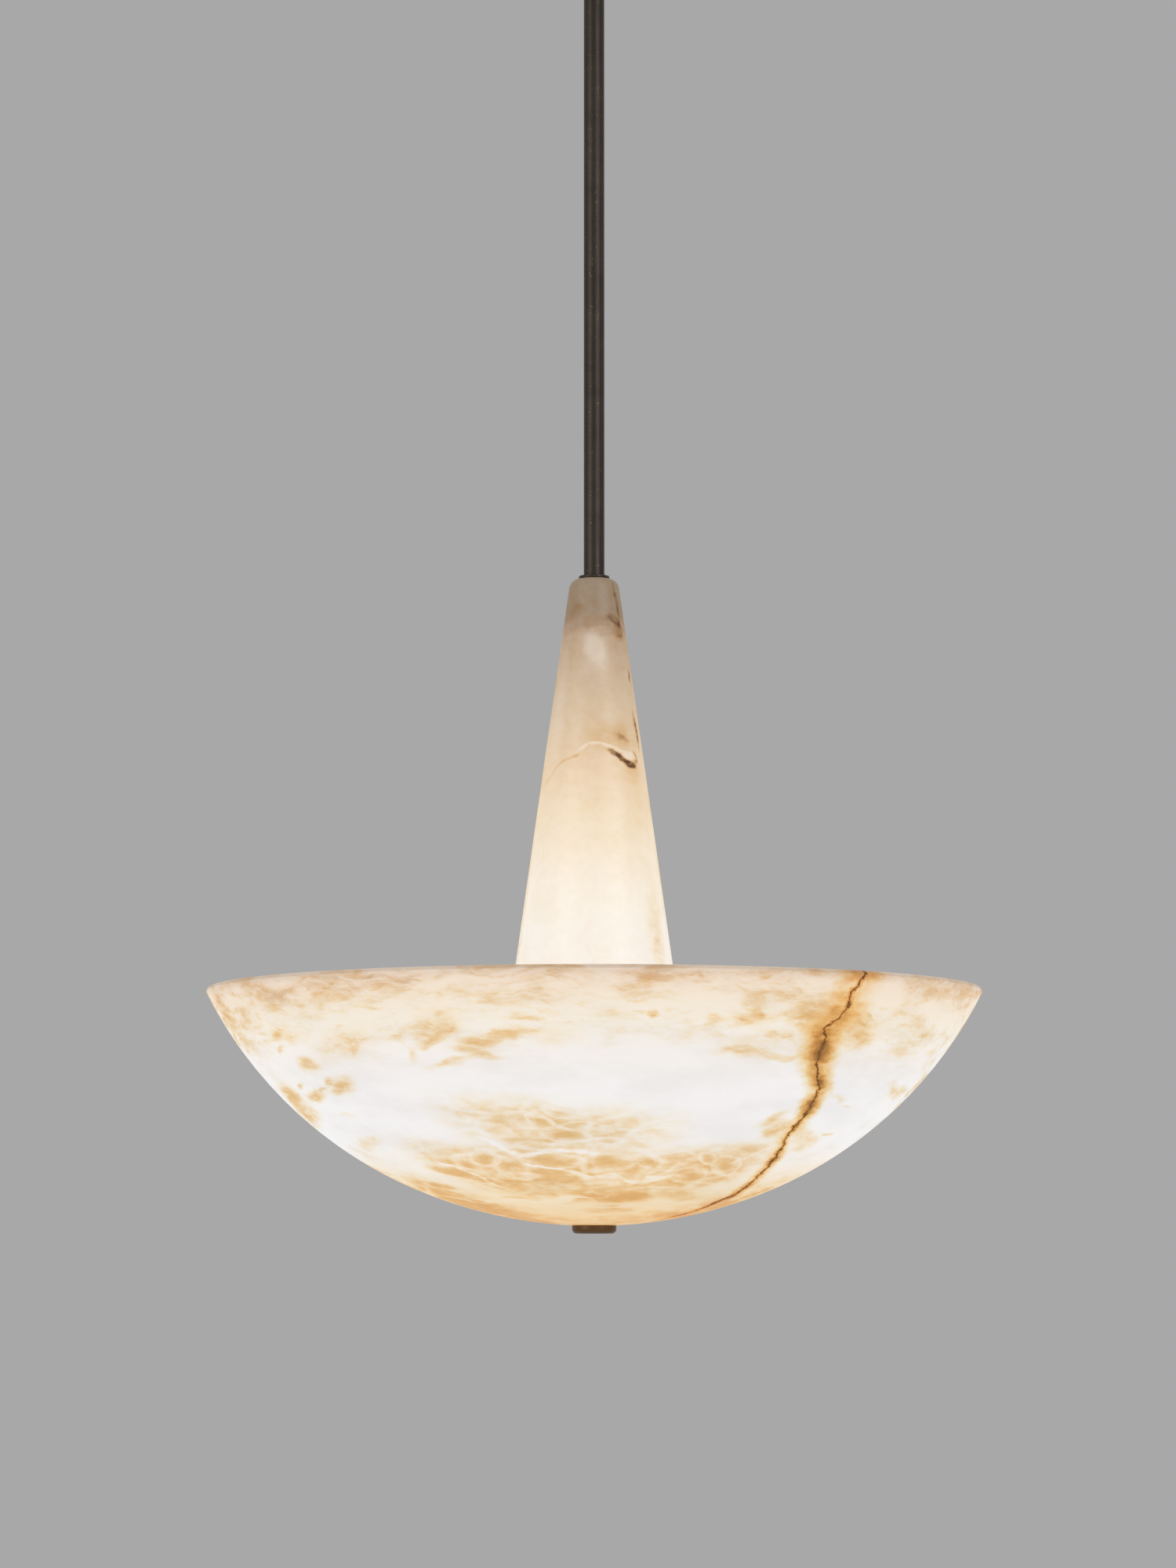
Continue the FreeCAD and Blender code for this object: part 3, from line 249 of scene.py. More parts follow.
# The honey-coloured ground that the cells lie in
BOWL_GROUND = (
    (0, 25, 112, 34, 0, 0.50, 0.3), (-8, 55, 62, 24, -8, 0.40, 0.6),
)
# Thin pale veins through the ground: (azimuth, height) points, half width in mm, strength
BOWL_VEINS = (
    (((-76, 26.3), (-69, 17.3), (-52, 12.1), (-22, 14.5), (1, 16.7)), 1.3, 0.34),
    (((-64, 25.9), (-58, 17.5), (-45, 14.3)), 1.1, 0.30),
    (((-41, 39.3), (-36, 32.5), (-31, 23.5)), 1.2, 0.32),
    (((-25, 50.3), (-20, 43.7), (-13, 43.1), (0, 40.7)), 1.2, 0.30),
    (((-15, 36.3), (-8, 30.2), (0, 29.2), (7, 28.3), (22, 28.0)), 1.2, 0.32),
)
# The crack: azimuth in degrees against the straight distance from the foot's middle in mm
CRACK = (
    (54.2, 62.9), (74.1, 61.9), (91.1, 58.2), (102.8, 59.0), (116.8, 55.9), (133.3, 52.3),
    (146.9, 50.1), (163.3, 47.4), (175.8, 44.9), (186.9, 44.7), (195.2, 44.8), (204.4, 44.1),
    (218.1, 43.1), (224.9, 41.3), (234.9, 39.1), (241.9, 38.6), (251.3, 38.3), (258.7, 37.3),
    (263.3, 38.2), (265.9, 39.4), (274.1, 40.0), (279.6, 39.4), (285.2, 40.4), (293.8, 41.2),
)
# Marks in the column: azimuth, distance down from the cap, half width, half height, turn,
# strength, softness
COLUMN_MARKS = (
    # dark veins in the cap, on the right
    (43, 29, 5, 2.5, -35, 0.62, 0.5), (50, 36, 4, 5, 10, 0.55, 0.6), (48, 9, 1.2, 6, 0, 0.42, 0.6),
    (55, 19, 1.6, 8, 4, 0.50, 0.6), (27, 28, 5, 2, 0, 0.40, 0.6), (-40, 22, 7, 5, 10, 0.24, 0.7),
    # spots down the right edge
    (67, 64, 1.6, 4.5, 0, 0.62, 0.5), (64, 95, 1.6, 7, 0, 0.46, 0.6),
    (68, 105, 1.6, 9, 0, 0.50, 0.6),
    # ochre over the arched vein, and its dark pocket
    (20, 106, 13, 8, 0, 0.26, 0.7), (48, 104, 9, 9, 10, 0.22, 0.7),
    (23, 117, 5, 1.8, -25, 0.56, 0.5),
    (34, 120, 5, 2.2, -25, 0.70, 0.5), (45, 124, 5, 2.6, -12, 0.72, 0.5),
    (54, 119, 2.6, 4, 20, 0.66, 0.5),
    (47, 129, 7, 6, 0, 0.28, 0.8), (52, 152, 10, 18, 0, 0.10, 0.8),
    # tints by the foot of the column
    (57, 232, 8, 30, 0, 0.20, 0.7), (58, 243, 5, 8, 0, 0.08, 0.7), (-80, 225, 4, 60, 0, 0.24, 0.8),
    (80, 215, 4, 60, 0, 0.12, 0.8),
)
# Pale spots and the arched vein in the column
COLUMN_PALE = (
    (1, 48, 6.5, 11, 18, 1.0, 0.5), (7, 61, 7, 7, -10, 0.35, 0.8), (-56, 95, 6, 34, 2, 0.45, 0.8),
    (45, 118, 6, 2.6, -10, 0.9, 0.5), (50, 103, 5, 9, 10, 0.25, 0.8),
)
COLUMN_VEINS = (
    (((-20, 115.1), (-7.4, 111.2), (7.5, 111.7), (23.8, 113.5), (42.1, 116.0),
    (52.7, 117.0)), 0.9, 0.85),
)
COLUMN_STAINS = (
    (((-67.5, 135.7), (-52.5, 130.4), (-45.8, 125.6), (-34.0, 120.9), (-20.2, 118.2)), 1.0, 0.26),
)


def linear(code):
    """Turn an sRGB hex colour into the linear colour that Blender works in."""
    levels = [int(code[place:place + 2], 16) / 255.0 for place in (1, 3, 5)]
    return tuple(v / 12.92 if v <= 0.04045 else ((v + 0.055) / 1.055) ** 2.4 for v in levels)


def opaque(colour):
    """A colour, given as sRGB hex or as linear levels, with full cover."""
    return (*(linear(colour) if isinstance(colour, str) else colour), 1.0)


def dimmed(colour, share):
    """A share of a colour's light."""
    return [share * level for level in (linear(colour) if isinstance(colour, str) else colour)]


def tone(name, description, code):
    """A colour that the user may change, given as sRGB hex."""
    return FloatVectorProperty(
        name=name, description=description, subtype="COLOR", size=3, min=0.0, max=1.0,
        default=linear(code))


def length(name, description, millimetres):
    """A length that the user may change, given in millimetres."""
    return FloatProperty(
        name=name, description=description, subtype="DISTANCE", unit="LENGTH", min=0.0,
        default=millimetres / MM)


class PendantSizes(bpy.types.PropertyGroup):
    crack_core: length("Crack", "Half width of the dark line of the crack", 0.8)
    crack_edge: length("Crack edge", "Half width of the rust beside the crack", 6.5)
    crack_halo: length("Crack halo", "Half width of the warm stain around the crack", 18.0)
    cell: length("Cells", "Width of the honey-coloured cells", 19.0)
    bedding: length("Bedding", "Thickness of the brushed layers in the stone", 5.0)
    brush: length("Brushing", "Spacing of the fine lines brushed along the bronze", 0.6)
    thread: length("Thread", "Pitch of the thread on the tie tube", 1.0)
    floor_drop: length("Floor", "Height of the bowl's foot over the floor", 1460.0)
    glow: FloatProperty(
        name="Glow", description="Light that comes through the stone; 1 is as lit", min=0.0,
        max=2.0, default=1.0, subtype="FACTOR")


class PendantColours(bpy.types.PropertyGroup):
    stone: tone("Stone", "Alabaster where no light comes through", "#97887A")
    stone_stained: tone("Stained stone", "Unlit alabaster in the honey-coloured marks", "#8C7355")
    stone_dark: tone("Crack", "The bottom of the crack", "#4A2C14")
    bronze: tone("Bronze", "Dark bronze patina", "#433A33")
    bronze_worn: tone("Worn bronze", "Bronze where the patina is thin", "#8A6B4C")
    bronze_lit: tone("Lit bronze", "Bronze warmed by the glow under the bowl", "#7E5C38")
    steel: tone("Steel", "Zinc-plated steel", "#C3C6C8")
    brass: tone("Brass", "Cast brass", "#C9A660")
    silicone: tone("Silicone", "Rubber rings between metal and stone", "#DAD7CF")
    opal: tone("Opal", "Opal glass of the lamps", "#FFF1DC")
    backdrop: tone("Backdrop", "Grey behind the pendant", "#A8A8A8")
    floor: tone("Floor", "Plain pale floor", "#D9D8D5")


def add(tree, kind, links=None, out=0, stops=(), points=(), **settings):
    """Add one node with its settings, values and links, and give back the output asked for."""
    node = tree.nodes.new(kind)
    for name, value in settings.items():
        setattr(node, name, value)
    if stops:
        elements = node.color_ramp.elements
        elements.remove(elements[1])
        elements[0].position, elements[0].color = stops[0][0], opaque(stops[0][1])
        for place, colour in stops[1:]:
            elements.new(place).color = opaque(colour)
    if points:
        line = node.mapping.curves[0]
        line.points[0].location, line.points[-1].location = points[0], points[-1]
        for place in points[1:-1]:
            line.points.new(*place)
        for point in line.points:
            point.handle_type = "VECTOR"
        node.mapping.update()
    for name, value in (links or {}).items():
        if isinstance(value, bpy.types.NodeSocket):
            tree.links.new(value, node.inputs[name])
        else:
            node.inputs[name].default_value = value
    return node.outputs[out]


def calc(tree, operation, *values, clamp=False):
    """One operation on numbers."""
    return add(tree, MATH, dict(enumerate(values)), operation=operation, use_clamp=clamp)


def vector(tree, operation, *values):
    """One operation on vectors."""
    return add(tree, VECTOR, dict(enumerate(values)), operation=operation)


def scaled(tree, point, factor):
    """A vector made longer or shorter."""
    return add(tree, VECTOR, {0: point, 3: factor}, operation="SCALE")


def distance(tree, point):
    """How long a vector is."""
    return add(tree, VECTOR, {0: point}, out="Value", operation="LENGTH")


def rescale(tree, value, span, result=(0.0, 1.0), kind="LINEAR"):
    """A value taken from one span to another, and held at both ends."""
    return add(tree, RANGE, {0: value, 1: span[0], 2: span[1], 3: result[0], 4: result[1]},
               interpolation_type=kind)


def fade(tree, value, span, result=(0.0, 1.0)):
    """A value taken from one span to another, with a soft start and end."""
    return rescale(tree, value, span, result, "SMOOTHSTEP")


def noise(tree, point, size, detail=2.0, roughness=0.5, out=0):
    """Random clouds of one size in mm: output 0 is a number, output 1 a vector."""
    return add(tree, NOISE, {"Vector": point, "Scale": 1.0 / size, "Detail": detail,
                             "Roughness": roughness}, out=out)


def ramp(tree, value, *stops):
    """The colour that belongs to a value."""
    return add(tree, RAMP, {0: value}, stops=stops)


def blend(tree, share, first, second, kind="MIX"):
    """Two colours mixed, or one multiplied by the other."""
    pair = [colour if isinstance(colour, bpy.types.NodeSocket) else opaque(colour)
            for colour in (first, second)]
    return add(tree, MIX, {0: share, 6: pair[0], 7: pair[1]}, out=2, data_type="RGBA",
               blend_type=kind)


def relief(tree, height, strength, depth):
    """The lie of a surface with fine relief, its depth in mm."""
    return add(tree, BUMP, {"Strength": strength, "Distance": depth / MM, "Height": height})


def new_finish(name, **plain):
    """Start a material, and set the plain numbers of its shader."""
    material = bpy.data.materials.new(name)
    material.use_nodes = True
    shader = material.node_tree.nodes["Principled BSDF"]
    for key, value in plain.items():
        shader.inputs[key.replace("_", " ")].default_value = value
    return material, material.node_tree, shader


def connect(tree, shader, **values):
    """Lead values to the shader; an underscore stands for the space in a socket's name."""
    for key, value in values.items():
        tree.links.new(value, shader.inputs[key.replace("_", " ")])


def dress(material, *names):
    """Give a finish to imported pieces."""
    for name in names:
        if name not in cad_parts:
            raise RuntimeError("the packed model has no piece called " + name)
        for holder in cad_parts[name].material_slots:
            holder.material = material


def in_millimetres(tree):
    """The place in the stone or metal, in mm in the frame of the whole pendant."""
    return scaled(tree, add(tree, COORDINATES, out="Object"), MM)


def axes(tree, point):
    """The three coordinates of a point: to the right, to the back and up."""
    return tuple(add(tree, SPLIT, {0: point}).node.outputs)


def from_axis(tree, point):
    """Distance from the pendant's axis."""
    return distance(tree, vector(tree, "MULTIPLY", point, (1.0, 1.0, 0.0)))


def azimuth_of(tree, x, y):
    """Azimuth from the front, in radians."""
    return calc(tree, "ARCTAN2", x, calc(tree, "MULTIPLY", y, -1.0))


def grained(name, pieces, stops, size, detail, gloss, bumps=None, **plain):
    """A plain finish whose tone, roughness and relief all follow one fine grain."""
    material, tree, shader = new_finish(name, **plain)
    cloud = noise(tree, in_millimetres(tree), size, detail)
    connect(tree, shader, Base_Color=ramp(tree, cloud, *stops),
            Roughness=rescale(tree, cloud, USUAL, gloss))
    if bumps:
        connect(tree, shader, Normal=relief(tree, cloud, *bumps))
    dress(material, *pieces)


def bowl_place(azimuth, height):
    """A point on the bowl's outside, and the direction up the stone there."""
    join_height = LOWER_ARC - math.sqrt(LOWER_ARC ** 2 - JOIN_RADIUS ** 2)
    lean = math.asin(JOIN_RADIUS / LOWER_ARC)
    if height <= join_height:
        centre_radius, centre_height, arc = 0.0, LOWER_ARC, LOWER_ARC
    else:
        centre_radius = JOIN_RADIUS - UPPER_ARC * math.sin(lean)
        centre_height = join_height + UPPER_ARC * math.cos(lean)
        arc = UPPER_ARC
    drop = centre_height - height
    out = math.sqrt(max(arc ** 2 - drop ** 2, 0.0))
    turn = math.radians(azimuth)
    outward = Vector((math.sin(turn), -math.cos(turn), 0.0))
    up = outward * (drop / arc) + Vector((0.0, 0.0, out / arc))
    return outward * (centre_radius + out) + Vector((0.0, 0.0, FOOT + height)), up


def column_place(azimuth, down):
    """A point on the column's outside, and the direction up the stone there."""
    turn = math.radians(azimuth)
    outward = Vector((math.sin(turn), -math.cos(turn), 0.0))
    lean = (COLUMN_RIM_RADIUS - COLUMN_TOP_RADIUS) / COLUMN_RIM_DROP
    up = (Vector((0.0, 0.0, 1.0)) - outward * lean).normalized()
    return outward * (COLUMN_TOP_RADIUS + lean * down) + Vector((0.0, 0.0, CAP - down)), up


def mark(tree, point, middle, across, up, half_width, half_height, strength, softness):
    """One soft-edged oval in the stone, as deep as the wall."""
    through = up.cross(across)
    turned = Matrix((across, through, up)).transposed().to_euler()
    reach = 1.0 + softness
    depth = max(MARK_DEPTH, half_width * MARK_DEPTH_SHARE)
    inside = add(tree, MAPPING, {
        "Vector": point, "Location": middle, "Rotation": turned,
        "Scale": (half_width * reach, depth * reach, half_height * reach)},
        vector_type="TEXTURE")
    ball = add(tree, GRADIENT, {"Vector": inside}, out="Fac", gradient_type="SPHERICAL")
    return fade(tree, ball, (0.0, 2.0 * softness / reach), (0.0, strength))


def marks(tree, point, spots, place, total=None, join="ADD"):
    """All the ovals of a list, added up, or the strongest of them."""
    for azimuth, level, half_width, half_height, turn, strength, softness in spots:
        middle, up = place(azimuth, level)
        ring = math.radians(azimuth)
        across = Vector((math.cos(ring), math.sin(ring), 0.0))
        tilt = math.radians(turn)
        along = across * math.cos(tilt) + up * math.sin(tilt)
        over = up * math.cos(tilt) - across * math.sin(tilt)
        one = mark(tree, point, middle, along, over, half_width, half_height, strength, softness)
        total = one if total is None else calc(tree, join, total, one)
    return total


def veins(tree, point, lines, place, total=None):
    """Thin lines through the stone, each drawn as a run of long ovals; the strongest counts."""
    for stations, half_width, strength in lines:
        spots = [place(*station)[0] for station in stations]
        for start, end in zip(spots, spots[1:]):
            across = (end - start).normalized()
            outward = Vector((start.x, start.y, 0.0)).normalized()
            over = across.cross(outward)
            over = over.normalized() if over.z > 0 else -over.normalized()
            reach = (end - start).length * VEIN_REACH
            one = mark(tree, point, (start + end) / 2, across, over, reach, half_width, strength,
                       VEIN_SOFTNESS)
            total = one if total is None else calc(tree, "MAXIMUM", total, one)
    return total


def bent(tree, point, bedded, fold, fold_shift, ripple, ripple_shift):
    """The place, pushed about by soft folds and by the brushed layers, so no mark is an oval."""
    middle = vector(tree, "SUBTRACT", point, ((fold_shift + ripple_shift) / 2,) * 3)
    broad = noise(tree, point, fold, out=1)
    folded = vector(tree, "MULTIPLY_ADD", broad, (fold_shift,) * 3, middle)
    fine = noise(tree, bedded, ripple, detail=4.0, roughness=0.65, out=1)
    return vector(tree, "MULTIPLY_ADD", fine, (ripple_shift,) * 3, folded)


def unlit_stone(tree, wear, colours):
    """Colour of the stone where no light comes through, from clean to the crack's bottom."""
    return ramp(tree, wear, (0.0, colours.stone), (0.5, colours.stone_stained),
                (1.0, colours.stone_dark))


def smoke_under_rim(tree, soft, z, cloud, woven):
    """Strength of the smoky grey-brown band under the rim and of its clouds."""
    depth = calc(tree, "SUBTRACT", RIM, z)
    reach = rescale(tree, cloud, (0.35, 0.65), SMOKE_DEPTHS)
    smoke = marks(tree, soft, BOWL_CLOUDS, bowl_place)
    band = fade(tree, depth, (reach, 0.0), (0.0, BAND_STRENGTH))
    smoke = calc(tree, "MULTIPLY_ADD", smoke, SMOKE_STRENGTH, band)
    rubbed = rescale(tree, woven, (0.40, 0.60), (0.25, 1.75))
    return calc(tree, "MULTIPLY", smoke, rubbed, clamp=True)


def honey_ground(tree, soft, gentle, flat, height, side, brushed, grain, cell):
    """Strength of the honey-coloured ground near the foot, with its pale-rimmed amber cells."""
    ground = marks(tree, soft, BOWL_GROUND, bowl_place)
    gap = add(tree, CELLS, {"Vector": flat, "Scale": 1.0 / cell}, feature="DISTANCE_TO_EDGE")
    body = fade(tree, gap, (0.0, 0.12), (0.62, 1.0))
    low = fade(tree, height, GROUND_HEIGHTS, (0.0, GROUND_STRENGTH))
    low = calc(tree, "MULTIPLY", low, side)
    ground = calc(tree, "MAXIMUM", ground, low)
    ground = calc(tree, "MULTIPLY", ground, body)
    ground = calc(tree, "MULTIPLY", ground, grain)
    cells = marks(tree, gentle, BOWL_CELLS, bowl_place, join="MAXIMUM")
    outline = ramp(tree, cells, *CELL_OUTLINE)
    ground = calc(tree, "MULTIPLY", ground, calc(tree, "SUBTRACT", 1.0, outline))
    amber = fade(tree, cells, (0.34, 1.0), (0.0, AMBER_STRENGTH))
    mild = rescale(tree, brushed, (0.34, 0.66), (0.6, 1.35))
    amber = calc(tree, "MULTIPLY", amber, mild)
    return calc(tree, "MAXIMUM", ground, amber)


def marks_all_round(tree, flat, broad, cloud, side, grain, cell):
    """Strength of the marks of the sides and back: fields of round cells, and brushed streaks."""
    field = fade(tree, broad, (0.46, 0.60))
    round_cells = add(tree, CELLS, {"Vector": flat, "Scale": 1.0 / cell})
    spots = fade(tree, round_cells, (0.62, 0.22), (0.0, CELL_STRENGTH))
    spots = calc(tree, "MULTIPLY", spots, field)
    streak = fade(tree, cloud, (0.50, 0.68), (0.0, STREAK_STRENGTH))
    spots = calc(tree, "MAXIMUM", spots, streak)
    spots = calc(tree, "MULTIPLY", spots, side)
    return calc(tree, "MULTIPLY", spots, grain)


def crack_in_bowl(tree, point, radius, azimuth, height, cloud, sizes):
    """The crack's dark line, the line with its rust and stain, and the jags along it, in mm."""
    chord = distance(tree, vector(tree, "SUBTRACT", point, (AXIS, 0.0, FOOT)))
    path = add(tree, CURVE, {"Factor": 1.0, "Value": calc(tree, "DIVIDE", chord, CRACK_SPAN)},
               points=[(reach / CRACK_SPAN, turn / QUARTER) for reach, turn in CRACK])
    path = calc(tree, "MULTIPLY", path, math.radians(QUARTER))
    apart = calc(tree, "SUBTRACT", azimuth, path)
    apart = calc(tree, "MULTIPLY", apart, radius)
    jag = noise(tree, point, size=5.0, detail=5.0, roughness=0.7)
    jag = rescale(tree, jag, (0.0, 1.0), (-6.0, 6.0))
    apart = calc(tree, "ABSOLUTE", calc(tree, "ADD", apart, jag))
    thin = rescale(tree, cloud, USUAL, [swell * MM * sizes.crack_core for swell in CRACK_SWELL])
    core = fade(tree, apart, (thin, 0.0), (0.0, 1.12))
    edge = fade(tree, apart, (MM * sizes.crack_edge, 0.0), (0.0, EDGE_STRENGTH))
    # The stain around it is wide under the rim and narrow near the foot
    wide = rescale(tree, height, HALO_HEIGHTS,
                   [swell * MM * sizes.crack_halo for swell in HALO_SWELL])
    halo = fade(tree, apart, (wide, 0.0), (0.0, HALO_STRENGTH))
    patchy = rescale(tree, cloud, (0.36, 0.60), (0.35, 1.2))
    halo = calc(tree, "MULTIPLY", halo, patchy)
    crack = calc(tree, "MAXIMUM", core, edge)
    crack = calc(tree, "MAXIMUM", crack, halo)
    start = fade(tree, chord, CRACK_START)
    return core, calc(tree, "MULTIPLY", crack, start, clamp=True), jag


class PENDANT_OT_stage(bpy.types.Operator):
    """Set up the camera, the soft light, the grey surroundings and the pale floor"""
    bl_idname = "pendant.stage"
    bl_label = "Stage"

    def execute(self, context):
        sizes, colours = context.scene.pendant_sizes, context.scene.pendant_colours
        scene = context.scene
        scene.view_settings.view_transform = "Standard"
        scene.cycles.use_denoising = True

        lens = bpy.data.cameras.new("camera")
        lens.lens, lens.sensor_width, lens.clip_end = LENS, SENSOR, SIGHT
        camera = bpy.data.objects.new("camera", lens)
        camera.location = CAMERA_PLACE
        camera.rotation_euler = (math.radians(CAMERA_TILT), 0.0, 0.0)
        scene.collection.objects.link(camera)
        scene.camera = camera

        # Soft even light for the object; a plain grey where the eye, metal or glass looks past it
        world = bpy.data.worlds.new("studio")
        world.use_nodes = True
        tree = world.node_tree
        rays = add(tree, "ShaderNodeLightPath").node.outputs
        seen = calc(tree, "MAXIMUM", rays["Is Camera Ray"], rays["Is Glossy Ray"])
        seen = calc(tree, "MAXIMUM", seen, rays["Is Transmission Ray"])
        sky = blend(tree, seen, SKY, colours.backdrop)
        tree.links.new(sky, tree.nodes["Background"].inputs["Color"])
        scene.world = world

        for name, place, power in STUDIO_LAMPS:
            lamp = bpy.data.lights.new(name, "AREA")
            lamp.energy, lamp.size = power, LAMP_SIZE
            holder = bpy.data.objects.new(name, lamp)
            holder.location = place
            aim = Vector(LAMP_AIM) - Vector(place)
            holder.rotation_euler = aim.to_track_quat("-Z", "Y").to_euler()
            scene.collection.objects.link(holder)

        level = FOOT / MM - sizes.floor_drop
        corners = ((-1, -1), (1, -1), (1, 1), (-1, 1))
        sheet = bpy.data.meshes.new("floor")
        sheet.from_pydata([(x * FLOOR_HALF, y * FLOOR_HALF, level) for x, y in corners], [],
                          [(0, 1, 2, 3)])
        floor = bpy.data.objects.new("floor", sheet)
        scene.collection.objects.link(floor)
        # Painted plaster floor: matt, with a faint unevenness of tone
        plaster, tree, shader = new_finish("Painted plaster, matt", Roughness=0.9)
        cloud = noise(tree, in_millimetres(tree), size=400.0, detail=3.0)
        connect(tree, shader, Base_Color=ramp(
            tree, cloud, (0.3, dimmed(colours.floor, 0.97)), (0.7, colours.floor)))
        # From underneath it is clear, so that the pendant can be looked at from below
        under = add(tree, "ShaderNodeNewGeometry", out="Backfacing")
        clear = add(tree, "ShaderNodeBsdfTransparent")
        both = add(tree, "ShaderNodeMixShader", {0: under, 1: shader.outputs[0], 2: clear})
        tree.links.new(both, tree.nodes["Material Output"].inputs["Surface"])
        floor.data.materials.append(plaster)
        return {"FINISHED"}


class PENDANT_OT_bowl(bpy.types.Operator):
    """Finish the bowl: alabaster lit from inside, with its clouds, cells, pale veins and crack"""
    bl_idname = "pendant.bowl"
    bl_label = "Alabaster bowl"

    def execute(self, context):
        sizes, colours = context.scene.pendant_sizes, context.scene.pendant_colours
        # Alabaster, turned and honed: lets light through, brownest where the wall holds iron,
        # with a faint satin gloss
        stone, tree, shader = new_finish(
            "Alabaster, turned and honed, bowl", IOR=STONE_IOR, Emission_Strength=sizes.glow)
        point = in_millimetres(tree)
        x, y, z = axes(tree, point)
        radius = from_axis(tree, point)
        azimuth = azimuth_of(tree, x, y)
        height = calc(tree, "SUBTRACT", z, FOOT)
        bedded = vector(tree, "MULTIPLY", point, LAYERS)
        soft = bent(tree, point, bedded, fold=30.0, fold_shift=16.0, ripple=6.0, ripple_shift=9.0)
        gentle = bent(tree, point, bedded, fold=30.0, fold_shift=12.0, ripple=12.0,
                      ripple_shift=5.0)
        brushed = noise(tree, bedded, MM * sizes.bedding, detail=7.0, roughness=0.68)
        grain = rescale(tree, brushed, (0.34, 0.66), (0.45, 1.55))
        cloud = noise(tree, bedded, size=16.0, detail=5.0, roughness=0.6)
        broad = noise(tree, point, size=80.0, detail=1.0)
        side = fade(tree, y, BOWL_SIDES)

        # Warm brushed marks, and wisps between them in the upper half
        stain = marks(tree, soft, BOWL_MARKS, bowl_place)
        upper = fade(tree, height, WISP_HEIGHTS)
        long_grain = vector(tree, "MULTIPLY", soft, FIBRES)
        fibre = noise(tree, long_grain, size=3.4, detail=4.0, roughness=0.6)
        woven = add(tree, MIX, {0: 0.45, 2: cloud, 3: fibre}, data_type="FLOAT")
        wisp = fade(tree, woven, (0.46, 0.60), (0.0, WISP_STRENGTH))
        stain = calc(tree, "ADD", stain, calc(tree, "MULTIPLY", wisp, upper))
        stain = calc(tree, "MULTIPLY", stain, grain)

        smoke = smoke_under_rim(tree, soft, z, cloud, woven)
        flat = vector(tree, "MULTIPLY", gentle, FLAT_CELLS)
        cell = MM * sizes.cell
        ground = honey_ground(tree, soft, gentle, flat, height, side, brushed, grain, cell)
        stain = calc(tree, "ADD", stain, ground)
        others = marks_all_round(tree, flat, broad, cloud, side, grain, cell)
        stain = calc(tree, "ADD", stain, others)
        pale = veins(tree, gentle, BOWL_VEINS, bowl_place)
        stain = calc(tree, "SUBTRACT", stain, pale, clamp=True)
        stain = calc(tree, "SMOOTH_MIN", stain, DARKEST_MARK, DARKEST_ROUNDING, clamp=True)

        core, crack, jag = crack_in_bowl(tree, point, radius, azimuth, height, cloud, sizes)
        worst = calc(tree, "MAXIMUM", stain, crack)
        stain = calc(tree, "MULTIPLY", stain, calc(tree, "SUBTRACT", 1.0, crack))

        light = ramp(tree, calc(tree, "DIVIDE", height, RIM - FOOT), *BOWL_LIGHT)
        tint = ramp(tree, stain, *STAIN_TINT)
        haze = ramp(tree, smoke, *SMOKE_TINT)
        rust = ramp(tree, crack, *CRACK_TINT)
        for layer in (haze, rust):
            tint = blend(tree, 1.0, tint, layer, "MULTIPLY")
        glow = blend(tree, 1.0, light, tint, "MULTIPLY")
        # Faint grey veils in the white stone
        glow = scaled(tree, glow, rescale(tree, cloud, (0.42, 0.62), (1.0, 0.93)))
        # The inside already takes the light of the far wall, so it adds less of its own
        facing = axes(tree, add(tree, COORDINATES, out="Normal"))[2]
        glow = scaled(tree, glow, rescale(tree, facing, (-0.1, 0.25), (1.0, 0.74)))
        base = unlit_stone(tree, worst, colours)
        satin = rescale(tree, jag, (-2.0, 2.0), (0.34, 0.44))
        satin = calc(tree, "MULTIPLY_ADD", core, 0.5, satin, clamp=True)
        # Honed skin: low waves under two millimetres wide, and the crack's open edge
        skin = noise(tree, point, size=1.6, detail=3.0)
        skin = calc(tree, "MULTIPLY_ADD", core, -1.5, skin)
        connect(tree, shader, Emission_Color=glow, Base_Color=base, Roughness=satin,
                Normal=relief(tree, skin, strength=0.25, depth=0.3))
        dress(stone, "bowl")
        return {"FINISHED"}


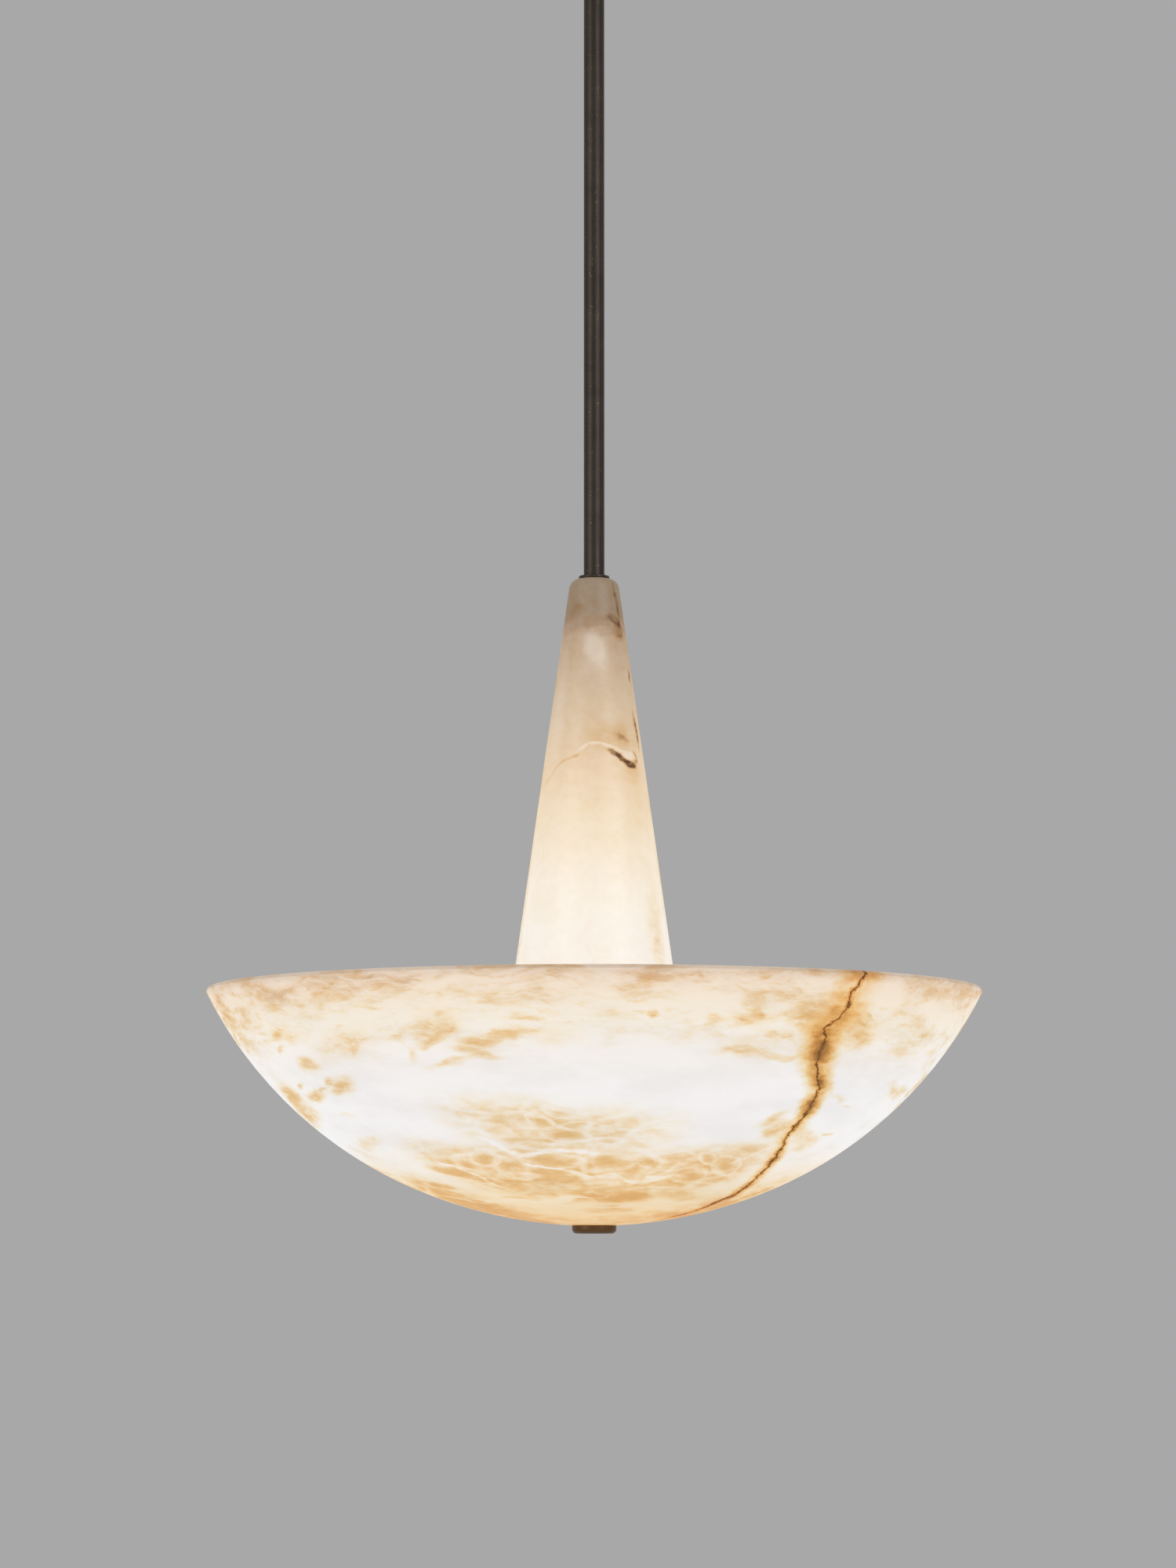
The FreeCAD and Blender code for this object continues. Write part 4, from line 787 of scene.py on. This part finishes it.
class PENDANT_OT_column(bpy.types.Operator):
    """Finish the column: alabaster lit from below, with its unlit cap and arched vein"""
    bl_idname = "pendant.column"
    bl_label = "Alabaster column"

    def execute(self, context):
        sizes, colours = context.scene.pendant_sizes, context.scene.pendant_colours
        # Alabaster, turned and honed: bright where the column is hollow, dull in its solid cap
        stone, tree, shader = new_finish(
            "Alabaster, turned and honed, column", IOR=STONE_IOR, Emission_Strength=sizes.glow)
        point = in_millimetres(tree)
        y, z = axes(tree, point)[1:]
        down = calc(tree, "SUBTRACT", CAP, z)
        bedded = vector(tree, "MULTIPLY", point, COLUMN_LAYERS)
        soft = bent(tree, point, bedded, fold=18.0, fold_shift=5.0, ripple=4.0, ripple_shift=2.6)
        brushed = noise(tree, bedded, MM * sizes.bedding, detail=6.0, roughness=0.62)
        grain = rescale(tree, brushed, (0.32, 0.68), (0.5, 1.5))
        stain = marks(tree, soft, COLUMN_MARKS, column_place)
        stain = veins(tree, soft, COLUMN_STAINS, column_place, stain)
        stain = calc(tree, "MULTIPLY", stain, grain)

        # Faint clouds all over, stronger at the sides and back
        cloud = noise(tree, point, size=26.0, detail=4.0, roughness=0.55)
        side = fade(tree, y, COLUMN_SIDES, (0.05, 0.36))
        mist = fade(tree, cloud, (0.44, 0.66))
        mist = calc(tree, "MULTIPLY", mist, side)
        stain = calc(tree, "ADD", stain, mist, clamp=True)

        pale = marks(tree, soft, COLUMN_PALE, column_place)
        pale = veins(tree, soft, COLUMN_VEINS, column_place, pale)
        clear = calc(tree, "SUBTRACT", 1.0, pale, clamp=True)
        stain = calc(tree, "MULTIPLY", stain, clear)

        # The cap is solid, so the light stops about 27 mm down, unevenly
        drift = rescale(tree, brushed, USUAL, CAP_DRIFT)
        level = calc(tree, "ADD", down, drift)
        light = ramp(tree, calc(tree, "DIVIDE", level, LIT_SPAN), *COLUMN_LIGHT)
        tint = ramp(tree, stain, *COLUMN_TINT)
        glow = blend(tree, 1.0, light, tint, "MULTIPLY")
        glow = blend(tree, calc(tree, "MULTIPLY", pale, PALE_STRENGTH), glow, PALE_LIGHT)

        # Unlit stone: mottled grey brown, darker along the cap's veins
        mottle = noise(tree, point, size=7.0, detail=5.0, roughness=0.65)
        mottle = rescale(tree, mottle, (0.4, 0.7), (0.0, 0.34))
        base = unlit_stone(tree, calc(tree, "ADD", stain, mottle, clamp=True), colours)
        skin = noise(tree, point, size=1.6, detail=3.0)
        satin = rescale(tree, skin, USUAL, (0.34, 0.44))
        connect(tree, shader, Emission_Color=glow, Base_Color=base, Roughness=satin,
                Normal=relief(tree, skin, strength=0.25, depth=0.3))
        dress(stone, "column")
        return {"FINISHED"}


class PENDANT_OT_bronze(bpy.types.Operator):
    """Finish the stem, its yoke and collar, the canopy and the finial in dark bronze"""
    bl_idname = "pendant.bronze"
    bl_label = "Dark bronze"

    def execute(self, context):
        sizes, colours = context.scene.pendant_sizes, context.scene.pendant_colours
        # Bronze, patinated dark, brushed and waxed: fine lines, small worn flecks, soft gloss
        bronze, tree, shader = new_finish(
            "Bronze, patinated and waxed", Metallic=0.85, Coat_Weight=0.25, Coat_Roughness=0.35)
        point = in_millimetres(tree)
        # Brushed lines run along the tube; drawn about twice as coarse so that they show
        lines = vector(tree, "MULTIPLY", point, BRUSH_LINES)
        brushed = noise(tree, lines, MM * sizes.brush, detail=3.0)
        patina = noise(tree, point, size=14.0, detail=5.0, roughness=0.6)
        metal = ramp(tree, patina, (0.3, dimmed(colours.bronze, 0.78)), (0.55, colours.bronze),
                     (0.8, dimmed(colours.bronze, 1.25)))
        flecks = noise(tree, point, size=1.8)
        worn = rescale(tree, flecks, (0.66, 0.74), (0.0, 0.7))
        metal = blend(tree, worn, metal, colours.bronze_worn)
        # Painted light: under the bowl, its glow is painted on the metal as a warmer, lighter tone
        height = calc(tree, "SUBTRACT", axes(tree, point)[2], FOOT)
        painted_glow = rescale(tree, height, PAINTED_GLOW_HEIGHTS, (0.0, 0.75))
        metal = blend(tree, painted_glow, metal, colours.bronze_lit)
        connect(tree, shader, Base_Color=metal,
                Roughness=rescale(tree, brushed, USUAL, (0.34, 0.5)),
                Normal=relief(tree, brushed, strength=0.2, depth=0.1))
        dress(bronze, "lower_yoke", "stem", "stem_collar", "canopy", "canopy_collar", "finial")
        return {"FINISHED"}


class PENDANT_OT_fitting(bpy.types.Operator):
    """Finish the ceiling fitting, the swivel, the tube, nuts and washer in zinc-plated steel"""
    bl_idname = "pendant.fitting"
    bl_label = "Steel fitting and carriers"

    def execute(self, context):
        sizes, colours = context.scene.pendant_sizes, context.scene.pendant_colours
        # Steel, zinc plated and clear passivated: cool grey with a faint crystal pattern
        steel, tree, shader = new_finish("Steel, zinc plated", Metallic=1.0)
        point = in_millimetres(tree)
        crystals = add(tree, CELLS, {"Vector": point, "Scale": 1.0 / CRYSTAL}, out="Color")
        grey = ramp(tree, crystals, (0.2, dimmed(colours.steel, 0.92)), (0.8, colours.steel))
        dull = noise(tree, point, size=9.0, detail=4.0)
        connect(tree, shader, Base_Color=grey, Roughness=rescale(tree, dull, USUAL, (0.28, 0.46)))
        dress(steel, "ceiling_bracket", "earth_screw", "upper_yoke", "upper_pivot_pin",
              "swivel_block", "lower_pivot_pin", "canopy_grub_screw", "column_spider",
              "spider_nut", "cluster_top_nut", "cluster_bottom_nut", "bowl_stop_nut",
              "bowl_stop_washer", "holder_nuts")

        # The same steel, with a rolled thread: one ridge each pitch, turning round the tube
        threaded, tree, shader = new_finish("Steel, zinc plated, rolled thread", Metallic=1.0)
        x, y, z = axes(tree, in_millimetres(tree))
        turn = calc(tree, "DIVIDE", azimuth_of(tree, x, y), 2 * math.pi)
        climb = calc(tree, "DIVIDE", z, MM * sizes.thread)
        ridge = calc(tree, "PINGPONG", calc(tree, "ADD", climb, turn), 1.0)
        # Painted shade: the thread's grooves are drawn darker than its crests
        grey = ramp(tree, ridge, (0.0, dimmed(colours.steel, 0.55)), (0.7, colours.steel))
        connect(tree, shader, Base_Color=grey,
                Roughness=rescale(tree, ridge, (0.0, 1.0), (0.5, 0.28)),
                Normal=relief(tree, ridge, strength=0.8, depth=0.4))
        dress(threaded, "tie_tube")
        return {"FINISHED"}


class PENDANT_OT_wiring(bpy.types.Operator):
    """Finish the wires, the lamp leads and the two terminal blocks"""
    bl_idname = "pendant.wiring"
    bl_label = "Wiring"

    def execute(self, context):
        # PVC insulation, drawn: smooth and slightly glossy, faintly uneven in tone
        for pieces, name, code in (
                (("wire_brown", "lamp_leads"), "PVC insulation, brown", "#5B3A26"),
                (("wire_blue",), "PVC insulation, blue", "#2F6FA8")):
            grained(name, pieces, ((0.3, dimmed(code, 0.86)), (0.7, code)), size=6.0, detail=3.0,
                    gloss=(0.36, 0.46), IOR=1.53)

        # Earth wire: green with a yellow stripe along it
        cover, tree, shader = new_finish("PVC insulation, green and yellow", IOR=1.53)
        point = in_millimetres(tree)
        x = axes(tree, point)[0]
        low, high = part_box("wire_earth")
        middle = (low[0] + high[0]) * MM / 2
        swirl = rescale(tree, noise(tree, point, size=14.0), USUAL, STRIPE_WANDER)
        striped = rescale(tree, calc(tree, "ADD", x, swirl),
                          (middle - STRIPE_EDGE, middle + STRIPE_EDGE))
        connect(tree, shader, Base_Color=blend(tree, striped, "#3D7A3A", "#E2C42F"),
                Roughness=rescale(tree, swirl, STRIPE_WANDER, (0.36, 0.46)))
        dress(cover, "wire_earth")

        # Polyamide, moulded: milky, with a fine spark-eroded texture
        grained("Polyamide, moulded", ("connector_block",), ((0.3, "#DCD8CC"), (0.7, "#E9E6DC")),
                size=0.5, detail=2.0, gloss=(0.42, 0.55), bumps=(0.3, 0.1), IOR=1.53)
        # Steatite, pressed and fired: warm white, matt, with tiny dark specks
        grained("Steatite, pressed and fired", ("cluster_terminal",),
                ((0.25, "#A99C86"), (0.36, "#E6DFCF"), (0.8, "#EEE9DC")), size=0.7, detail=2.0,
                gloss=(0.5, 0.62), IOR=1.58)
        return {"FINISHED"}


class PENDANT_OT_lamps(bpy.types.Operator):
    """Finish the brass cluster, the lampholders, and the lamps with their caps and opal globes"""
    bl_idname = "pendant.lamps"
    bl_label = "Lamps and cluster"

    def execute(self, context):
        sizes, colours = context.scene.pendant_sizes, context.scene.pendant_colours
        # Brass, cast and tumbled: warm metal with a fine sand texture and dull hollows
        brass, tree, shader = new_finish("Brass, cast and tumbled", Metallic=1.0)
        point = in_millimetres(tree)
        sand = noise(tree, point, size=1.1, detail=4.0, roughness=0.6)
        dull = noise(tree, point, size=12.0, detail=4.0)
        warm = ramp(tree, dull, (0.3, dimmed(colours.brass, 0.68)), (0.65, colours.brass))
        connect(tree, shader, Base_Color=warm, Roughness=rescale(tree, sand, USUAL, (0.28, 0.48)),
                Normal=relief(tree, sand, strength=0.3, depth=0.2))
        dress(brass, "lamp_cluster", "cluster_lid", "holder_nipples")

        holders, caps, globes = (
            [kind + number for number in "1234"]
            for kind in ("lampholder_", "lamp_cap_", "lamp_globe_"))
        # Thermoset, moulded: near-black brown with a satin mould skin
        grained("Thermoset, moulded", holders, ((0.3, "#262321"), (0.7, "#312D2A")), size=0.8,
                detail=3.0, gloss=(0.38, 0.52), bumps=(0.25, 0.1), IOR=1.55)

        # Nickel-plated brass cap: rolled thread, one ridge each 2.8 mm along the lamp
        cap, tree, shader = new_finish("Brass, nickel plated, rolled thread", Metallic=1.0)
        ridge = calc(tree, "PINGPONG", from_axis(tree, in_millimetres(tree)), CAP_HALF_PITCH)
        # Painted shade: the thread's grooves are drawn darker than its crests
        connect(tree, shader, Base_Color=ramp(tree, ridge, (0.0, "#8F8D86"), (1.0, "#CFCDC6")),
                Roughness=rescale(tree, ridge, (0.0, CAP_HALF_PITCH), (0.42, 0.26)),
                Normal=relief(tree, ridge, strength=0.7, depth=0.5))
        dress(cap, *caps)

        # Opal glass, blown: smooth and milky, lit evenly, a little dimmer at the neck
        opal, tree, shader = new_finish(
            "Opal glass, blown", IOR=1.5, Roughness=0.12, Emission_Strength=0.8 * sizes.glow)
        point = in_millimetres(tree)
        reach = calc(tree, "DIVIDE", from_axis(tree, point), LAMP_REACH)
        neck = ramp(tree, reach, (0.56, dimmed(colours.opal, 0.72)), (0.68, colours.opal))
        milk = noise(tree, point, size=20.0)
        connect(tree, shader, Emission_Color=neck,
                Base_Color=ramp(tree, milk, (0.3, "#B9B6AF"), (0.7, "#C2BFB8")))
        dress(opal, *globes)
        return {"FINISHED"}


class PENDANT_OT_rings(bpy.types.Operator):
    """Finish the rubber rings that keep the metal off the stone"""
    bl_idname = "pendant.rings"
    bl_label = "Rubber rings"

    def execute(self, context):
        colours = context.scene.pendant_colours
        # Silicone rubber, moulded: milky and matt, with a little dust
        grained("Silicone rubber, moulded",
                ("column_gasket", "bowl_upper_gasket", "bowl_lower_gasket"),
                ((0.3, dimmed(colours.silicone, 0.85)), (0.6, colours.silicone)), size=1.5,
                detail=4.0, gloss=(0.5, 0.66), IOR=1.41)
        return {"FINISHED"}


class PENDANT_PT_panel(bpy.types.Panel):
    """Lists the steps that finish the pendant, and the sizes and colours to change"""
    bl_idname = "PENDANT_PT_panel"
    bl_label = "Alabaster bowl pendant"
    bl_space_type = "VIEW_3D"
    bl_region_type = "UI"
    bl_category = "Pendant"

    def draw(self, context):
        for step in STEPS:
            self.layout.operator(step.bl_idname)
        for group in (context.scene.pendant_sizes, context.scene.pendant_colours):
            box = self.layout.box()
            for name in group.__annotations__:
                box.prop(group, name)


STEPS = (PENDANT_OT_stage, PENDANT_OT_bowl, PENDANT_OT_column, PENDANT_OT_bronze,
         PENDANT_OT_fitting, PENDANT_OT_wiring, PENDANT_OT_lamps, PENDANT_OT_rings)
CLASSES = (PendantSizes, PendantColours, *STEPS, PENDANT_PT_panel)


def register():
    for piece in CLASSES:
        bpy.utils.register_class(piece)
    bpy.types.Scene.pendant_sizes = PointerProperty(type=PendantSizes)
    bpy.types.Scene.pendant_colours = PointerProperty(type=PendantColours)


def unregister():
    del bpy.types.Scene.pendant_colours
    del bpy.types.Scene.pendant_sizes
    for piece in reversed(CLASSES):
        bpy.utils.unregister_class(piece)


def main():
    """Finish the whole pendant."""
    register()
    bpy.ops.pendant.stage()
    bpy.ops.pendant.bowl()
    bpy.ops.pendant.column()
    bpy.ops.pendant.bronze()
    bpy.ops.pendant.fitting()
    bpy.ops.pendant.wiring()
    bpy.ops.pendant.lamps()
    bpy.ops.pendant.rings()


if __name__ == "__main__":
    main()
